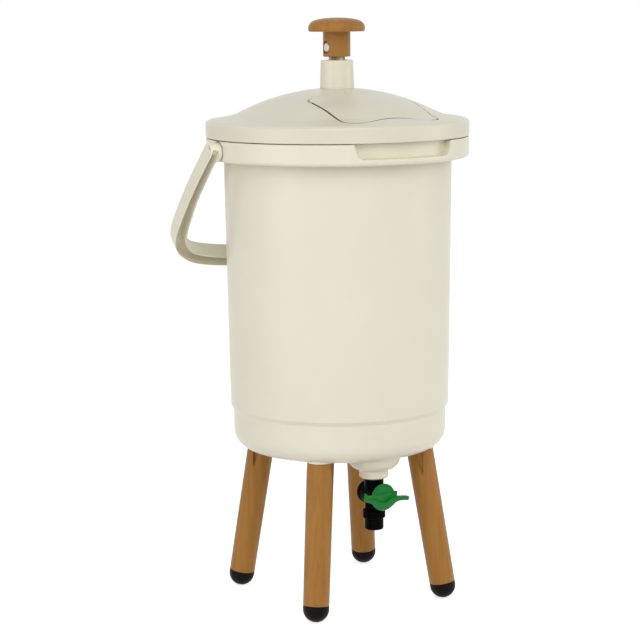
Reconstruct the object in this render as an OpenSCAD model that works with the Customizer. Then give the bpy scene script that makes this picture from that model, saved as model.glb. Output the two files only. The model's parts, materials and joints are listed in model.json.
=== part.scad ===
// Bokashi bin on four splayed legs, with a domed lid, a feed flap, a push rod, a carrying bail
// and a drain tap. The front of the bin faces -Y, the feet stand on Z = 0, and lengths are in mm.

/* [Bin] */
// Height of the underside of the bin above the floor
bottom_z = 188; // [170:1:240]
// Height from the underside to the top of the collar
body_h = 376.4; // [320:0.1:420]
// Outer radius of the wall just under the collar
body_top_r = 137.3; // [120:0.1:155]
// How much narrower the wall is just above the step
wall_draft = 4.3; // [2:0.1:7]
// How far the base band stands back under the step
step_in = 3.5; // [2:0.1:6]
// Height of the step above the underside
step_h = 48; // [40:1:70]
// Height over which the step widens
step_rise = 5; // [3:0.5:8]
// Radius of the rounded lower edge
base_fillet = 22; // [14:1:28]
// Thickness of the wall
wall = 3; // [2:0.1:4]
// Thickness of the floor
floor_t = 3.5; // [2.5:0.1:5]
// Height of the sealing rim above the collar
rim_h = 7; // [5:0.5:9]

/* [Collar] */
// How far the collar stands out from the wall
collar_out = 20.2; // [16:0.1:24]
// Height of the collar
collar_h = 24.7; // [20:0.1:28]
// Radius of the collar's lower edge
collar_edge = 4.5; // [1:0.5:6]
// Width of the finger recess at the top
recess_w = 125.6; // [90:1:150]
// How much narrower the recess is at its lip
recess_taper = 10; // [0:1:20]
// Depth of the finger recess
recess_d = 9.5; // [6:0.5:12]
// Height of the lip under the recess
recess_lip = 7.9; // [6:0.1:12]
// Corner radius of the recess
recess_corner = 7; // [3:0.5:9]

/* [Lid] */
// How far the lid stands out over the collar
lid_over = 0.3; // [0:0.1:1.5]
// Gap between the collar and the edge of the lid
lid_gap = 2.5; // [1:0.1:4]
// Height of the lid's upright side above its edge
lid_band = 14.6; // [8:0.1:18]
// Radius of the crisp edge above the lid's side
lid_edge_r = 2.5; // [1:0.1:4]
// Radius of the lid's shoulder above that edge
lid_bevel_r = 11; // [6:0.1:14]
// Angle through which the crisp edge turns
lid_edge_turn = 50; // [30:1:65]
// Slope of the flat land around the dome, in degrees
land_slope = 8.6; // [4:0.1:12]
// Width of the land and the shoulder around the dome
land_w = 32.3; // [28:0.1:38]
// Radius of the dome's sphere
dome_r = 258; // [230:1:300]
// Thickness of the lid
lid_wall = 2.8; // [2:0.1:3.5]
// Distance of the middle of the rim inside the collar's edge
rim_in = 12; // [11:0.1:14]
// Thickness of the rim
rim_t = 3; // [2:0.1:4]
// Thickness of the soft seal under the lid
seal_t = 4; // [3:0.5:6]

/* [Feed flap] */
// Width of the feed flap at its rear
flap_w = 132.2; // [110:0.2:140]
// How much narrower each side of the flap is at its front
flap_taper = 4; // [0:0.5:8]
// Distance of the flap's front corners behind the lid's edge, before they are rounded
flap_in = 20.1; // [18:0.1:26]
// How far the middle of the front edge is drawn back between the corners
flap_sag = 15.4; // [8:0.1:18]
// Distance of the flap's rear edge from the bin's axis
flap_rear = 39.3; // [36:0.1:46]
// Radius of the flap's front corners
flap_front_corner = 24; // [18:1:28]
// Radius of the flap's rear corners
flap_rear_corner = 9; // [5:1:14]
// Gap around the flap at its sides and front
flap_gap = 1.4; // [0.8:0.1:1.8]
// Gap behind the flap's rear edge
flap_rear_gap = 1.8; // [1.5:0.1:2.5]
// How far the flap stands proud of the dome
flap_proud = 0.8; // [0:0.1:1.5]
// Thickness of the flap
flap_t = 3; // [2.4:0.1:3.5]
// Thickness of the gasket under the flap
gasket_t = 2.7; // [1.6:0.1:3]
// Width of the ledge that the gasket closes on
ledge_w = 5; // [4:0.5:8]
// Radius of the flap's hinge barrel
barrel_r = 2.3; // [2:0.1:2.6]
// Radius of the hinge pin
hinge_pin_r = 1; // [0.8:0.1:1.2]
// Length of the flap's hinge knuckle
knuckle_l = 13; // [10:1:18]

/* [Guide tube] */
// Height of the guide tube above its seat
tube_h = 33.6; // [26:0.1:44]
// Outer radius of the tube at the top
tube_top_r = 19.3; // [18:0.1:21]
// Outer radius of the tube at its seat
tube_base_r = 20.4; // [20:0.1:22.5]
// Thickness of the tube's shell
tube_wall = 2.8; // [2:0.1:3.5]
// Outer radius of the threaded spigot under the tube
spigot_r = 13.8; // [13:0.1:15]
// Outer radius of the nut under the lid
nut_r = 21.5; // [19:0.5:24]

/* [Push rod] */
// Radius over the blades of the cross-shaped rod
rod_r = 10.5; // [9:0.1:11.5]
// Thickness of the rod's blades
blade_t = 4.2; // [3:0.1:6]
// Gap between the guide tube and the stem of the knob
knob_gap = 4; // [2:0.5:10]
// Radius of the knob's stem
stem_r = 16.3; // [15:0.1:19]
// Height of the knob's stem
stem_h = 29.6; // [26:0.1:34]
// Largest radius of the knob
knob_r = 33.9; // [30:0.1:38]
// Height of the knob's cap
knob_h = 16.3; // [12:0.1:20]
// Radius of the cross hole in the stem
cross_hole_r = 7.4; // [6.5:0.1:8]
// Radius of the cross pin
cross_pin_r = 5.3; // [4:0.1:6]
// Gap between the press plate and the wall above the step
plate_gap = 17; // [10:0.5:24]
// Thickness of the press plate
plate_t = 3; // [2:0.1:4]
// Height of the plate's rim and ribs
plate_rim = 9; // [6:1:14]
// Outer radius of the plate's hub
hub_r = 15.5; // [14:0.5:20]
// Height of the plate's hub
hub_h = 26; // [20:1:34]

/* [Strainer] */
// Gap between the strainer and the wall of the base band
strainer_gap = 9.5; // [7:0.5:14]
// Height of the strainer's underside above the floor of the bin
strainer_lift = 11; // [8:1:16]
// Thickness of the strainer
strainer_t = 3; // [2:0.1:4]
// Radius of a drain hole
drain_hole_r = 3; // [2:0.1:4]
// Number of rings of drain holes
drain_rings = 4; // [2:1:4]
// Distance between the rings of drain holes
drain_pitch = 24; // [20:0.5:26]

/* [Bail] */
// How far the bail stands out from the collar at its pivots
bail_out = 13.3; // [12.5:0.1:18]
// How far each arm draws in towards the grip
bail_taper = 3.8; // [0:0.1:6]
// Length of the bail from the arm's datum to the outside of the grip
bail_l = 206.6; // [198:0.1:230]
// Width of the arms and the grip across their open side
bail_w = 22.3; // [18:0.1:24]
// Thickness of the arms
arm_t = 11.3; // [9:0.1:11.5]
// Thickness of the grip
grip_t = 14.8; // [12:0.1:18]
// Radius of the bail's outer corners
bail_corner = 45; // [30:1:60]
// Outer radius of the bowed grip
grip_bow_r = 550; // [400:10:900]
// Angle of the hanging bail from the vertical
bail_lean = 43.6; // [42:0.1:50]
// Distance of the pivot below the top of the collar
pivot_drop = 13; // [12.5:0.1:14]
// Distance of the pivot behind the bin's axis
pivot_back = 10.5; // [0:0.5:20]
// Radius of the bail's round heads
head_r = 11.3; // [9:0.1:11.5]
// How far the arm's centre line runs behind the pivot
arm_offset = 3.9; // [0:0.1:6]
// Radius of the pivot stubs
pivot_r = 5; // [4:0.1:6]

/* [Legs] */
// Radius of a leg
leg_r = 16.5; // [14:0.1:18]
// Splay of the legs from the vertical
leg_splay = 9.5; // [6:0.1:11]
// Distance of the middle of a foot inside the radius of the base band
foot_in = 1.3; // [-6:0.1:12]
// Depth of the flat under each foot
foot_flat = 0.5; // [0.3:0.1:1.5]
// Height of the socket bosses under the bin
socket_h = 4.5; // [3:0.5:8]
// How much wider than the leg a socket boss is
socket_margin = 1.6; // [1:0.1:3]
// Radius of the socket spigot inside the leg
leg_spigot_r = 9; // [7:0.1:11]
// Length of the socket spigot
leg_spigot_l = 24; // [16:1:34]
// Radius of the foot's stem
foot_stem_r = 7; // [5:0.1:9]
// Length of the foot's stem
foot_stem_l = 13; // [9:1:18]
// Width of the notches at the top of a leg
notch_w = 6.5; // [4:0.1:8]
// Length of the notches
notch_l = 19; // [12:1:26]
// Depth of the notches
notch_d = 2.2; // [1:0.1:3]
// Angle of the notches around the leg, from its outer side
notch_a = 78; // [60:1:100]

/* [Tap] */
// Distance of the tap's axis behind the front of the base band
tap_in = 52.5; // [48:0.5:60]
// Radius of the drain bowl where it leaves the floor
bowl_r = 32; // [28:0.5:36]
// Height of the drain bowl
bowl_h = 17; // [12:0.5:20]
// Radius of the boss under the bowl
boss_r = 17.3; // [16:0.1:19]
// Height of the boss
boss_h = 10.4; // [8:0.1:14]
// Radius of the tap's thread
thread_r = 10.5; // [9.5:0.1:11.2]
// Radius of the tap's neck
neck_r = 11.7; // [11:0.1:13]
// Distance from the boss to the valve's axis
valve_drop = 20.6; // [18.5:0.1:24]
// Radius of the valve housing
housing_r = 13; // [12.5:0.1:14]
// Half length of the valve housing
housing_l = 12; // [11.5:0.1:14]
// Thickness of the cap behind the housing
back_cap_t = 6; // [4:0.1:8]
// Radius of the cap behind the housing
back_cap_r = 13.6; // [13.2:0.1:15]
// Radius of the valve plug
plug_r = 9.9; // [9.4:0.1:10]
// Radius of the waterway
bore_r = 6; // [5:0.1:6.4]
// Radius of the plug's stem
plug_stem_r = 4; // [3:0.1:5]
// Radius of the ribbed neck under the valve
lower_neck_r = 10.5; // [10:0.1:11.5]
// Distance from the valve's axis to the outlet collar
outlet_drop = 19.2; // [17.5:0.1:24]
// Radius of the outlet collar's flange
flange_r = 13.7; // [13:0.1:15]
// Height of the flange
flange_h = 9.2; // [7:0.1:11]
// Radius of the outlet
outlet_r = 11.4; // [10.8:0.1:12]
// Length of the outlet below the flange
outlet_l = 14.7; // [12:0.1:20]
// Radius of the outlet's mouth
mouth_r = 7; // [6.5:0.1:8]
// Radius of the lever's disc
lever_r = 16.4; // [14:0.1:18]
// Thickness of the lever's disc
lever_t = 5; // [4:0.1:6]
// Length of the lever's long wing
long_wing = 38; // [30:0.5:42]
// Length of the lever's short wing
short_wing = 30; // [24:0.5:34]
// Angle by which the closed lever dips at its long wing
lever_dip = 4; // [0:1:10]

/* [Clearances] */
// Clearance of a turning shaft in its hole
run_clear = 0.08; // [0.03:0.01:0.1]
// Clearance between pieces that are pushed together
seat_clear = 0.05; // [0.02:0.01:0.1]
// Clearance beside a moving face
side_clear = 0.35; // [0.3:0.05:0.6]

/* [Hidden] */
$fn = 96;
eps = 0.01;

// Radii that follow from the wall under the collar
body_low_r = body_top_r - wall_draft;
base_r = body_low_r - step_in;
collar_r = body_top_r + collar_out;
rim_mid_r = collar_r - rim_in;
lid_r = collar_r + lid_over;
dome_base_r = lid_r - land_w;
flap_front = lid_r - flap_in;
plate_r = body_low_r - wall - plate_gap;
strainer_r = base_r - wall - strainer_gap;
bail_half_w = collar_r + bail_out;
foot_circle_r = base_r - foot_in;
tap_front = base_r - tap_in;

// Heights, from the floor up
collar_top_z = bottom_z + body_h;
collar_low_z = collar_top_z - collar_h;
floor_z = bottom_z + floor_t;
step_z = bottom_z + step_h;
rim_z = collar_top_z + rim_h;
lid_edge_z = collar_top_z + lid_gap;
shoulder_z = lid_edge_z + lid_band;
edge_c = [lid_r - lid_edge_r, shoulder_z];
bevel_c = edge_c - (lid_bevel_r - lid_edge_r) * [cos(lid_edge_turn), sin(lid_edge_turn)];
land_end = bevel_c + lid_bevel_r * [sin(land_slope), cos(land_slope)];
inner_r = lid_r - lid_wall;
inner_turn = acos(min(1, (inner_r - bevel_c[0]) / (lid_bevel_r - lid_wall)));
dome_base_z = land_end[1] + (land_end[0] - dome_base_r) * tan(land_slope);
dome_a = asin(dome_base_r / dome_r);
dome_c = dome_base_z - dome_r * cos(dome_a);
blend_l = 10;
tube_hole_r = spigot_r + seat_clear;
tube_seat_r = tube_base_r + 0.4;
tube_seat_z = dome_c + sqrt(pow(dome_r, 2) - pow(tube_seat_r, 2));
pad_t = 4;
nut_h = 8;
spigot_l = pad_t + nut_h + 2;
guide_r = rod_r + side_clear;
tube_top_z = tube_seat_z + tube_h;
stem_low_z = tube_top_z + knob_gap;
cap_low_z = stem_low_z + stem_h;
knob_top_z = cap_low_z + knob_h;
strainer_z = floor_z + strainer_lift;
strainer_top_z = strainer_z + strainer_t;
plate_z = strainer_top_z + side_clear;
hub_top_z = plate_z + hub_h;

// Seal between the bin and the lid
seal_in = rim_mid_r - rim_t / 2 - 1;
seal_out = rim_mid_r + rim_t / 2 + 1;
seal_web_z = rim_z + seal_t;
channel_t = 2.2;
channel_low_z = collar_top_z + 1.5;

// Bail geometry, in the plane of the bail: x across and s down the arms
half_bail_w = bail_w / 2;
arm_angle = atan(bail_taper / bail_l);
pivot_z = collar_top_z - pivot_drop;
datum_y = pivot_back + arm_offset / cos(bail_lean);
pivot_s = -arm_offset * tan(bail_lean);
grip_mid_r = grip_bow_r - grip_t / 2;
grip_c = bail_l - grip_bow_r;
corner_mid_r = bail_corner - arm_t / 2;
arm_p = (bail_half_w - arm_t / 2) * cos(arm_angle);
corner_foot = arm_p - corner_mid_r;
corner_run = grip_c * cos(arm_angle) + sqrt(pow(grip_c * cos(arm_angle), 2)
    - pow(corner_foot * cos(arm_angle), 2) - pow(corner_foot * sin(arm_angle) - grip_c, 2)
    + pow(grip_mid_r - corner_mid_r, 2));
corner_x = corner_foot * cos(arm_angle) - corner_run * sin(arm_angle);
corner_s = corner_foot * sin(arm_angle) + corner_run * cos(arm_angle);
grip_a = atan2(corner_s - grip_c, corner_x);
arm_low_s = corner_s + corner_mid_r * sin(arm_angle);
grip_edge = 3;
lip_edge = 1.4;
outer_lip = 2.2;
inner_lip = 3.4;
groove_depth = 15;
head_blend = 28;
head_seat_r = head_r + 0.9;
head_floor_x = collar_r - wall;
pivot_boss_in = head_floor_x - 9;
snap_r = pivot_r + 1.3;
bail_back = datum_y + (bail_l - grip_edge) * sin(bail_lean)
    + (half_bail_w - grip_edge) * cos(bail_lean) + grip_edge;

// The origin lies midway between the front of the lid and the back of the hanging bail
axis_y = (lid_r - bail_back) / 2;

// Leg geometry, along a leg from the middle of its foot
foot_mid_z = leg_r - foot_flat;
socket_low_z = bottom_z - socket_h;
leg_l = (socket_low_z - foot_mid_z) / cos(leg_splay);
leg_top_r = foot_circle_r - leg_l * sin(leg_splay);
leg_angles = [-45, 45, 135, -135];

// Tap geometry
tap_y = -tap_front;
boss_low_z = bottom_z - bowl_h - boss_h;
valve_z = boss_low_z - valve_drop;
washer_t = 1.2;
neck_top_z = boss_low_z - washer_t;
thread_top_z = bottom_z - bowl_h + 2;
chamber_r = plug_r + run_clear;
outlet_top_z = valve_z - outlet_drop;
flange_low_z = outlet_top_z - flange_h;
outlet_low_z = flange_low_z - outlet_l;
tail_r = mouth_r + 1.8;
tail_low_z = flange_low_z - 3;
lever_back_y = -housing_l - 4.5;
lever_face_y = lever_back_y - lever_t;
fin_reach = 8;

// Flap hinge
hinge_y = -(flap_rear + 2.7);
hinge_z = dome_c + sqrt(pow(dome_r, 2) - pow(hinge_y, 2)) - 1.6;
ear_l = 7;
pin_half = knuckle_l / 2 + side_clear + ear_l;
ledge_top = flap_t - flap_proud + gasket_t + 0.3;
ledge_low = ledge_top + 2.4;

// Colours
cream = [0.91, 0.88, 0.80];
wood_brown = [0.66, 0.46, 0.22];
tap_green = [0.16, 0.53, 0.28];

// Points of an arc, with its middle, radius, first and last angle and number of steps
function arc_pts(c, r, a0, a1, n) =
    [for (i = [0:n]) let (a = a0 + (a1 - a0) * i / n) [c[0] + r * cos(a), c[1] + r * sin(a)]];

function reverse(v) = [for (i = [len(v) - 1:-1:0]) v[i]];

// A smooth step from 0 to 1
function smooth(t) = let (u = min(1, max(0, t))) u * u * (3 - 2 * u);

module on_axis() {
    translate([0, axis_y, 0]) children();
}

module ring(r_in, r_out, z0, z1) {
    rotate_extrude() translate([r_in, z0]) square([r_out - r_in, z1 - z0]);
}

// Outline of the outside of the bin, grown inwards by a wall and a floor for the inside
function bin_outline(t, f, top) = concat(
    [[0, bottom_z + f]],
    arc_pts([base_r - base_fillet, bottom_z + base_fillet], base_fillet - t, -90, 0, 9),
    [[base_r - t, step_z + t / 2], [body_low_r - t, step_z + step_rise + t / 2],
     [body_top_r - t, top], [0, top]]);

// Block that the finger recess takes out of the collar, grown by a wall for its lining
module recess_block(g) {
    half = recess_w / 2 + g;
    low = collar_low_z + recess_lip - g;
    slant = atan(recess_taper / 2 / (collar_h - recess_lip));
    r = recess_corner + g;
    foot_x = half - recess_taper / 2 - r * (1 + sin(slant)) / cos(slant) + r * tan(slant);
    side = arc_pts([foot_x, low + r], r, -90, -slant, 6);
    outline = concat(side, [[half + 2 * tan(slant), collar_top_z + 2]],
        [[-half - 2 * tan(slant), collar_top_z + 2]], [for (p = reverse(side)) [-p[0], p[1]]]);
    difference() {
        rotate([90, 0, 0]) linear_extrude(height = collar_r + 5) polygon(outline);
        cylinder(r = collar_r - recess_d - g, h = 2 * collar_top_z);
    }
}

module collar() {
    difference() {
        rotate_extrude() polygon(concat([[body_top_r - 1, collar_top_z], [body_top_r - 1, collar_low_z]],
            arc_pts([collar_r - collar_edge, collar_low_z + collar_edge], collar_edge, -90, 0, 5),
            arc_pts([collar_r - 1, collar_top_z - 1], 1, 0, 90, 3)));
        difference() {
            ring(body_top_r - 0.5, collar_r - wall, collar_low_z - 1, collar_top_z - wall);
            recess_block(wall);
        }
        recess_block(0);
    }
}

// Boss behind each seat of the bail's heads
module pivot_boss(side) {
    intersection() {
        translate([side * pivot_boss_in, pivot_back, pivot_z]) rotate([0, side * 90, 0])
            cylinder(r = head_seat_r + 1.5, h = head_floor_x - pivot_boss_in + 0.5);
        translate([-collar_r, pivot_back - 20, collar_low_z])
            cube([2 * collar_r, 40, collar_h - 1]);
    }
}

module side_cylinder(side, x, r, h) {
    translate([side * x, pivot_back, pivot_z]) rotate([0, side * 90, 0]) cylinder(r = r, h = h);
}

module leg_frame(a) {
    rotate([0, 0, a]) translate([0, -foot_circle_r, foot_mid_z]) rotate([-leg_splay, 0, 0]) children();
}

module socket_boss(a) {
    rotate([0, 0, a]) translate([0, -leg_top_r, socket_low_z])
        cylinder(r = leg_r + socket_margin, h = socket_h + base_fillet);
}

module bowl_outside() {
    translate([0, tap_y, 0]) rotate_extrude() polygon(concat(
        [[0, floor_z - 1], [0, boss_low_z]],
        arc_pts([boss_r - 2.5, boss_low_z + 2.5], 2.5, -90, 0, 4),
        [for (i = [0:8]) let (t = 90 * i / 8)
            [boss_r + (bowl_r - boss_r) * sin(t), bottom_z - bowl_h * cos(t)]],
        [[bowl_r, floor_z - 1]]));
}

module bowl_inside() {
    translate([0, tap_y, 0]) rotate_extrude() polygon(concat(
        [[0, floor_z + 1], [0, boss_low_z - 1], [thread_r + seat_clear, boss_low_z - 1],
         [thread_r + seat_clear, thread_top_z + 1]],
        [for (i = [0:8]) let (t = 90 * i / 8)
            [boss_r - wall + (bowl_r - boss_r) * sin(t), floor_z + 1 - (bowl_h + 1 - wall) * cos(t)]]));
}

module bin_body() {
    color(cream) on_axis() difference() {
        union() {
            difference() {
                union() {
                    rotate_extrude() polygon(bin_outline(0, 0, collar_top_z));
                    for (a = leg_angles) socket_boss(a);
                    bowl_outside();
                    collar();
                    ring(rim_mid_r - rim_t / 2, rim_mid_r + rim_t / 2, collar_top_z - 1, rim_z);
                    for (side = [-1, 1]) pivot_boss(side);
                }
                rotate_extrude() polygon(bin_outline(wall, floor_t, rim_z + 1));
            }
            for (a = leg_angles) leg_frame(a) translate([0, 0, leg_l - leg_spigot_l])
                cylinder(r = leg_spigot_r, h = leg_spigot_l + socket_h / 2);
        }
        bowl_inside();
        for (side = [-1, 1]) {
            side_cylinder(side, head_floor_x, head_seat_r, 20);
            side_cylinder(side, pivot_boss_in - 1, pivot_r + run_clear, 20);
        }
    }
}

module strainer() {
    color(cream) on_axis() {
        difference() {
            union() {
                translate([0, 0, strainer_z]) cylinder(r = strainer_r, h = strainer_t);
                ring(strainer_r - 2.5, strainer_r, strainer_z - 4, strainer_z + 1);
            }
            for (i = [1:drain_rings], k = [0:6 * i - 1])
                rotate([0, 0, (k + (i % 2) / 2) * 60 / i]) translate([0, i * drain_pitch, strainer_z - 1])
                    cylinder(r = drain_hole_r, h = strainer_t + 2, $fn = 24);
        }
        for (a = [30:60:330]) rotate([0, 0, a]) translate([0, -3.5 * drain_pitch, floor_z])
            cylinder(r = 3.5, h = strainer_lift + 1);
    }
}

// Notch in the side of a leg's top end, narrowing downwards
module leg_notch(a) {
    rotate([0, 0, a]) translate([0, 0, leg_l - notch_l]) rotate([90, 0, 0])
        translate([0, 0, leg_r - notch_d]) linear_extrude(height = notch_d + 3)
            polygon([[-1, 0], [1, 0], [notch_w / 2, notch_l - 4], [notch_w / 2, notch_l + 6],
                [-notch_w / 2, notch_l + 6], [-notch_w / 2, notch_l - 4]]);
}

module leg(a) {
    color(wood_brown) on_axis() difference() {
        leg_frame(a) difference() {
            cylinder(r = leg_r, h = leg_l + 5);
            translate([0, 0, -1]) cylinder(r = foot_stem_r + seat_clear, h = foot_stem_l + 2);
            translate([0, 0, leg_l - leg_spigot_l - 2])
                cylinder(r = leg_spigot_r + seat_clear, h = leg_spigot_l + 9);
            for (n = [-notch_a, notch_a]) leg_notch(n);
        }
        rotate([0, 0, a]) translate([-2 * leg_r, -leg_top_r - 2 * leg_r, socket_low_z])
            cube([4 * leg_r, 4 * leg_r, 20]);
    }
}

module foot(a) {
    color([0.07, 0.07, 0.07]) on_axis() intersection() {
        leg_frame(a) {
            rotate_extrude() polygon(concat([[0, 0]], arc_pts([0, 0], leg_r, 0, -90, 12)));
            translate([0, 0, -1]) cylinder(r = foot_stem_r, h = foot_stem_l + 1);
        }
        rotate([0, 0, a]) translate([-2 * leg_r, -foot_circle_r - 2 * leg_r, 0])
            cube([4 * leg_r, 4 * leg_r, 60]);
    }
}

module leg_front_left() { leg(leg_angles[0]); }

module leg_front_right() { leg(leg_angles[1]); }

module leg_rear_right() { leg(leg_angles[2]); }

module leg_rear_left() { leg(leg_angles[3]); }

module foot_front_left() { foot(leg_angles[0]); }

module foot_front_right() { foot(leg_angles[1]); }

module foot_rear_right() { foot(leg_angles[2]); }

module foot_rear_left() { foot(leg_angles[3]); }

// Corner between the dome and the land, moved out by o along both faces
function dome_corner(o) = [dome_base_r, dome_base_z] + o
    * [sin(dome_a) + sin(land_slope), cos(dome_a) + cos(land_slope)] / (1 + cos(dome_a - land_slope));

// Outside of the lid's dome and land, moved out by o, from the axis to the shoulder, with the
// corner between them rounded by a curve that is tangent to both
function dome_line(o) = concat(
    [for (i = [0:22]) let (a = dome_a * i / 24) [(dome_r + o) * sin(a), dome_c + (dome_r + o) * cos(a)]],
    [for (i = [0:6]) let (t = i / 6) dome_corner(o)
        + blend_l * pow(t, 2) * [cos(land_slope), -sin(land_slope)]
        - blend_l * pow(1 - t, 2) * [cos(dome_a), -sin(dome_a)]],
    [land_end + o * [sin(land_slope), cos(land_slope)]]);

// Layer of the dome and land between two distances from the skin
module dome_layer(o_low, o_high) {
    rotate_extrude() polygon(concat(dome_line(o_high), reverse(dome_line(o_low))));
}

// Half width of the flap at y, and its front edge at x, both grown by g
function flap_side(y, g) = flap_w / 2 + g + flap_taper * (y + flap_rear) / (flap_front - flap_rear);

function flap_edge(x, g) = flap_sag * (1 - pow(x / (flap_w / 2 - flap_taper), 2)) - flap_front - g;

// Front corner of the flap as a curve that is tangent to the side and to the front edge
function flap_corner(r, g) = let (
    y0 = r - flap_front - g, x3 = flap_side(-flap_front, g) - r,
    p0 = [flap_side(y0, g), y0], p3 = [x3, flap_edge(x3, g)],
    slope = -2 * flap_sag * x3 / pow(flap_w / 2 - flap_taper, 2),
    p1 = p0 - 0.55 * r * [flap_taper / (flap_front - flap_rear), 1],
    p2 = p3 + 0.55 * r * [1, slope] / norm([1, slope]))
    [for (i = [0:8]) let (t = i / 8, u = 1 - t)
        u * u * u * p3 + 3 * u * u * t * p2 + 3 * u * t * t * p1 + t * t * t * p0];

// Plan of the feed flap grown by g at the sides and the front and by h at the rear
function flap_plan(g, h) = let (
    corner = flap_corner(flap_front_corner + g, g),
    rear_y = h - flap_rear - flap_rear_corner,
    half = concat([for (i = [0:5]) let (x = corner[0][0] * i / 6) [x, flap_edge(x, g)]], corner,
        arc_pts([flap_side(rear_y, g) - flap_rear_corner, rear_y], flap_rear_corner, 0, 90, 6)))
    concat(half, [for (i = [len(half) - 1:-1:1]) [-half[i][0], half[i][1]]]);

module flap_prism(g, h) {
    translate([0, 0, lid_edge_z]) linear_extrude(height = dome_c + dome_r + 10 - lid_edge_z)
        polygon(flap_plan(g, h));
}

module hinge_cylinder(x0, x1, r) {
    translate([x0, hinge_y, hinge_z]) rotate([0, 90, 0]) cylinder(r = r, h = x1 - x0);
}

module lid_shell() {
    low = lid_edge_z;
    rotate_extrude() polygon(concat(
        [[0, tube_seat_z], [tube_seat_r, tube_seat_z]],
        [for (p = dome_line(0)) if (p[0] > tube_seat_r + 1) p],
        arc_pts(bevel_c, lid_bevel_r, 86 - land_slope, lid_edge_turn, 5),
        arc_pts(edge_c, lid_edge_r, lid_edge_turn - 12, 0, 3),
        [[lid_r - 0.4, low + 0.8], [lid_r - 1.2, low], [inner_r - 0.4, low]],
        arc_pts(bevel_c, lid_bevel_r - lid_wall, inner_turn, 86 - land_slope, 4),
        reverse([for (p = dome_line(-lid_wall)) if (p[0] > 26) p]),
        [[24, tube_seat_z - pad_t], [0, tube_seat_z - pad_t]]));
}

module lid() {
    color(cream) on_axis() difference() {
        union() {
            difference() {
                union() {
                    lid_shell();
                    intersection() {
                        flap_prism(flap_gap + 2.6, flap_rear_gap + 2.6);
                        dome_layer(-ledge_low, -1);
                    }
                    intersection() {
                        union() {
                            ring(seal_in - channel_t, seal_in, channel_low_z, land_end[1] + 5);
                            ring(seal_out, seal_out + channel_t, channel_low_z, land_end[1] + 5);
                            ring(seal_in - 1, seal_out + 1, seal_web_z, seal_web_z + channel_t);
                        }
                        rotate_extrude() polygon(concat([[0, 0], [0, dome_c + dome_r - 1]],
                            dome_line(-1), [[land_end[0], shoulder_z], [land_end[0], 0]]));
                    }
                }
                intersection() {
                    flap_prism(flap_gap, flap_rear_gap);
                    dome_layer(-ledge_top, 10);
                }
                flap_prism(-ledge_w - 1, -ledge_w - 1);
                translate([-flap_w / 2 - flap_gap + 4, hinge_y - 4.2, hinge_z - 4.2])
                    cube([flap_w + 2 * flap_gap - 8, flap_rear + hinge_y + 4.2 + 2 * flap_rear_gap + 2, 3]);
            }
            for (side = [-1, 1]) {
                x = side * (knuckle_l / 2 + side_clear + ear_l / 2);
                hinge_cylinder(x - ear_l / 2, x + ear_l / 2, barrel_r);
                translate([x - ear_l / 2, hinge_y - barrel_r, hinge_z - 5.2])
                    cube([ear_l, 2 * barrel_r, 5.2]);
                translate([x - ear_l / 2, hinge_y - barrel_r, hinge_z - 5.2])
                    cube([ear_l, 2 * barrel_r + 5, 1.6]);
            }
        }
        translate([0, 0, tube_seat_z - 20]) cylinder(r = tube_hole_r, h = 40);
        hinge_cylinder(-pin_half - 1, pin_half + 1, hinge_pin_r + seat_clear);
    }
}

module lid_seal() {
    color([0.8, 0.75, 0.64]) on_axis() ring(seal_in + seat_clear, seal_out - seat_clear, rim_z, seal_web_z);
}

module guide_tube() {
    seat = tube_seat_z;
    in_base = tube_base_r - tube_wall;
    in_top = tube_top_r - tube_wall;
    color(cream) on_axis() difference() {
        rotate_extrude() polygon(concat(
            [[guide_r, seat - spigot_l], [spigot_r, seat - spigot_l], [spigot_r, seat],
             [tube_base_r, seat]],
            arc_pts([tube_top_r - 1.5, tube_top_z - 1.5], 1.5, 0, 90, 4),
            [[guide_r + 0.8, tube_top_z], [guide_r, tube_top_z - 0.8]]));
        rotate_extrude() polygon([[spigot_r, seat - 1], [in_base, seat - 1],
            [in_base, seat], [in_top, tube_top_z - tube_wall], [spigot_r, tube_top_z - tube_wall]]);
    }
}

module guide_nut() {
    low = tube_seat_z - pad_t - nut_h;
    color(cream) on_axis() difference() {
        translate([0, 0, low]) cylinder(r = nut_r, h = nut_h, $fn = 6);
        translate([0, 0, low - 1]) cylinder(r = spigot_r + seat_clear, h = nut_h + 2);
    }
}

module feed_flap() {
    color(cream) on_axis() difference() {
        union() {
            intersection() {
                flap_prism(0, 0);
                dome_layer(flap_proud - flap_t, flap_proud);
            }
            hinge_cylinder(-knuckle_l / 2, knuckle_l / 2, barrel_r);
        }
        for (side = [-1, 1])
            translate([side * (knuckle_l / 2 + side_clear + ear_l / 2) - ear_l / 2 - side_clear,
                hinge_y - barrel_r - 0.45, hinge_z - 4 * barrel_r])
                cube([ear_l + 2 * side_clear, 8 * barrel_r, 8 * barrel_r]);
        hinge_cylinder(-knuckle_l, knuckle_l, hinge_pin_r + run_clear);
    }
}

module flap_gasket() {
    rear = hinge_y + flap_rear - 4.4;
    color([0.15, 0.15, 0.15]) on_axis() intersection() {
        difference() {
            flap_prism(-1, rear);
            flap_prism(-ledge_w, rear - ledge_w + 1);
        }
        dome_layer(flap_proud - flap_t - gasket_t, flap_proud - flap_t);
    }
}

module flap_hinge_pin() {
    color([0.75, 0.75, 0.75]) on_axis() hinge_cylinder(-pin_half, pin_half, hinge_pin_r);
}

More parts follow.
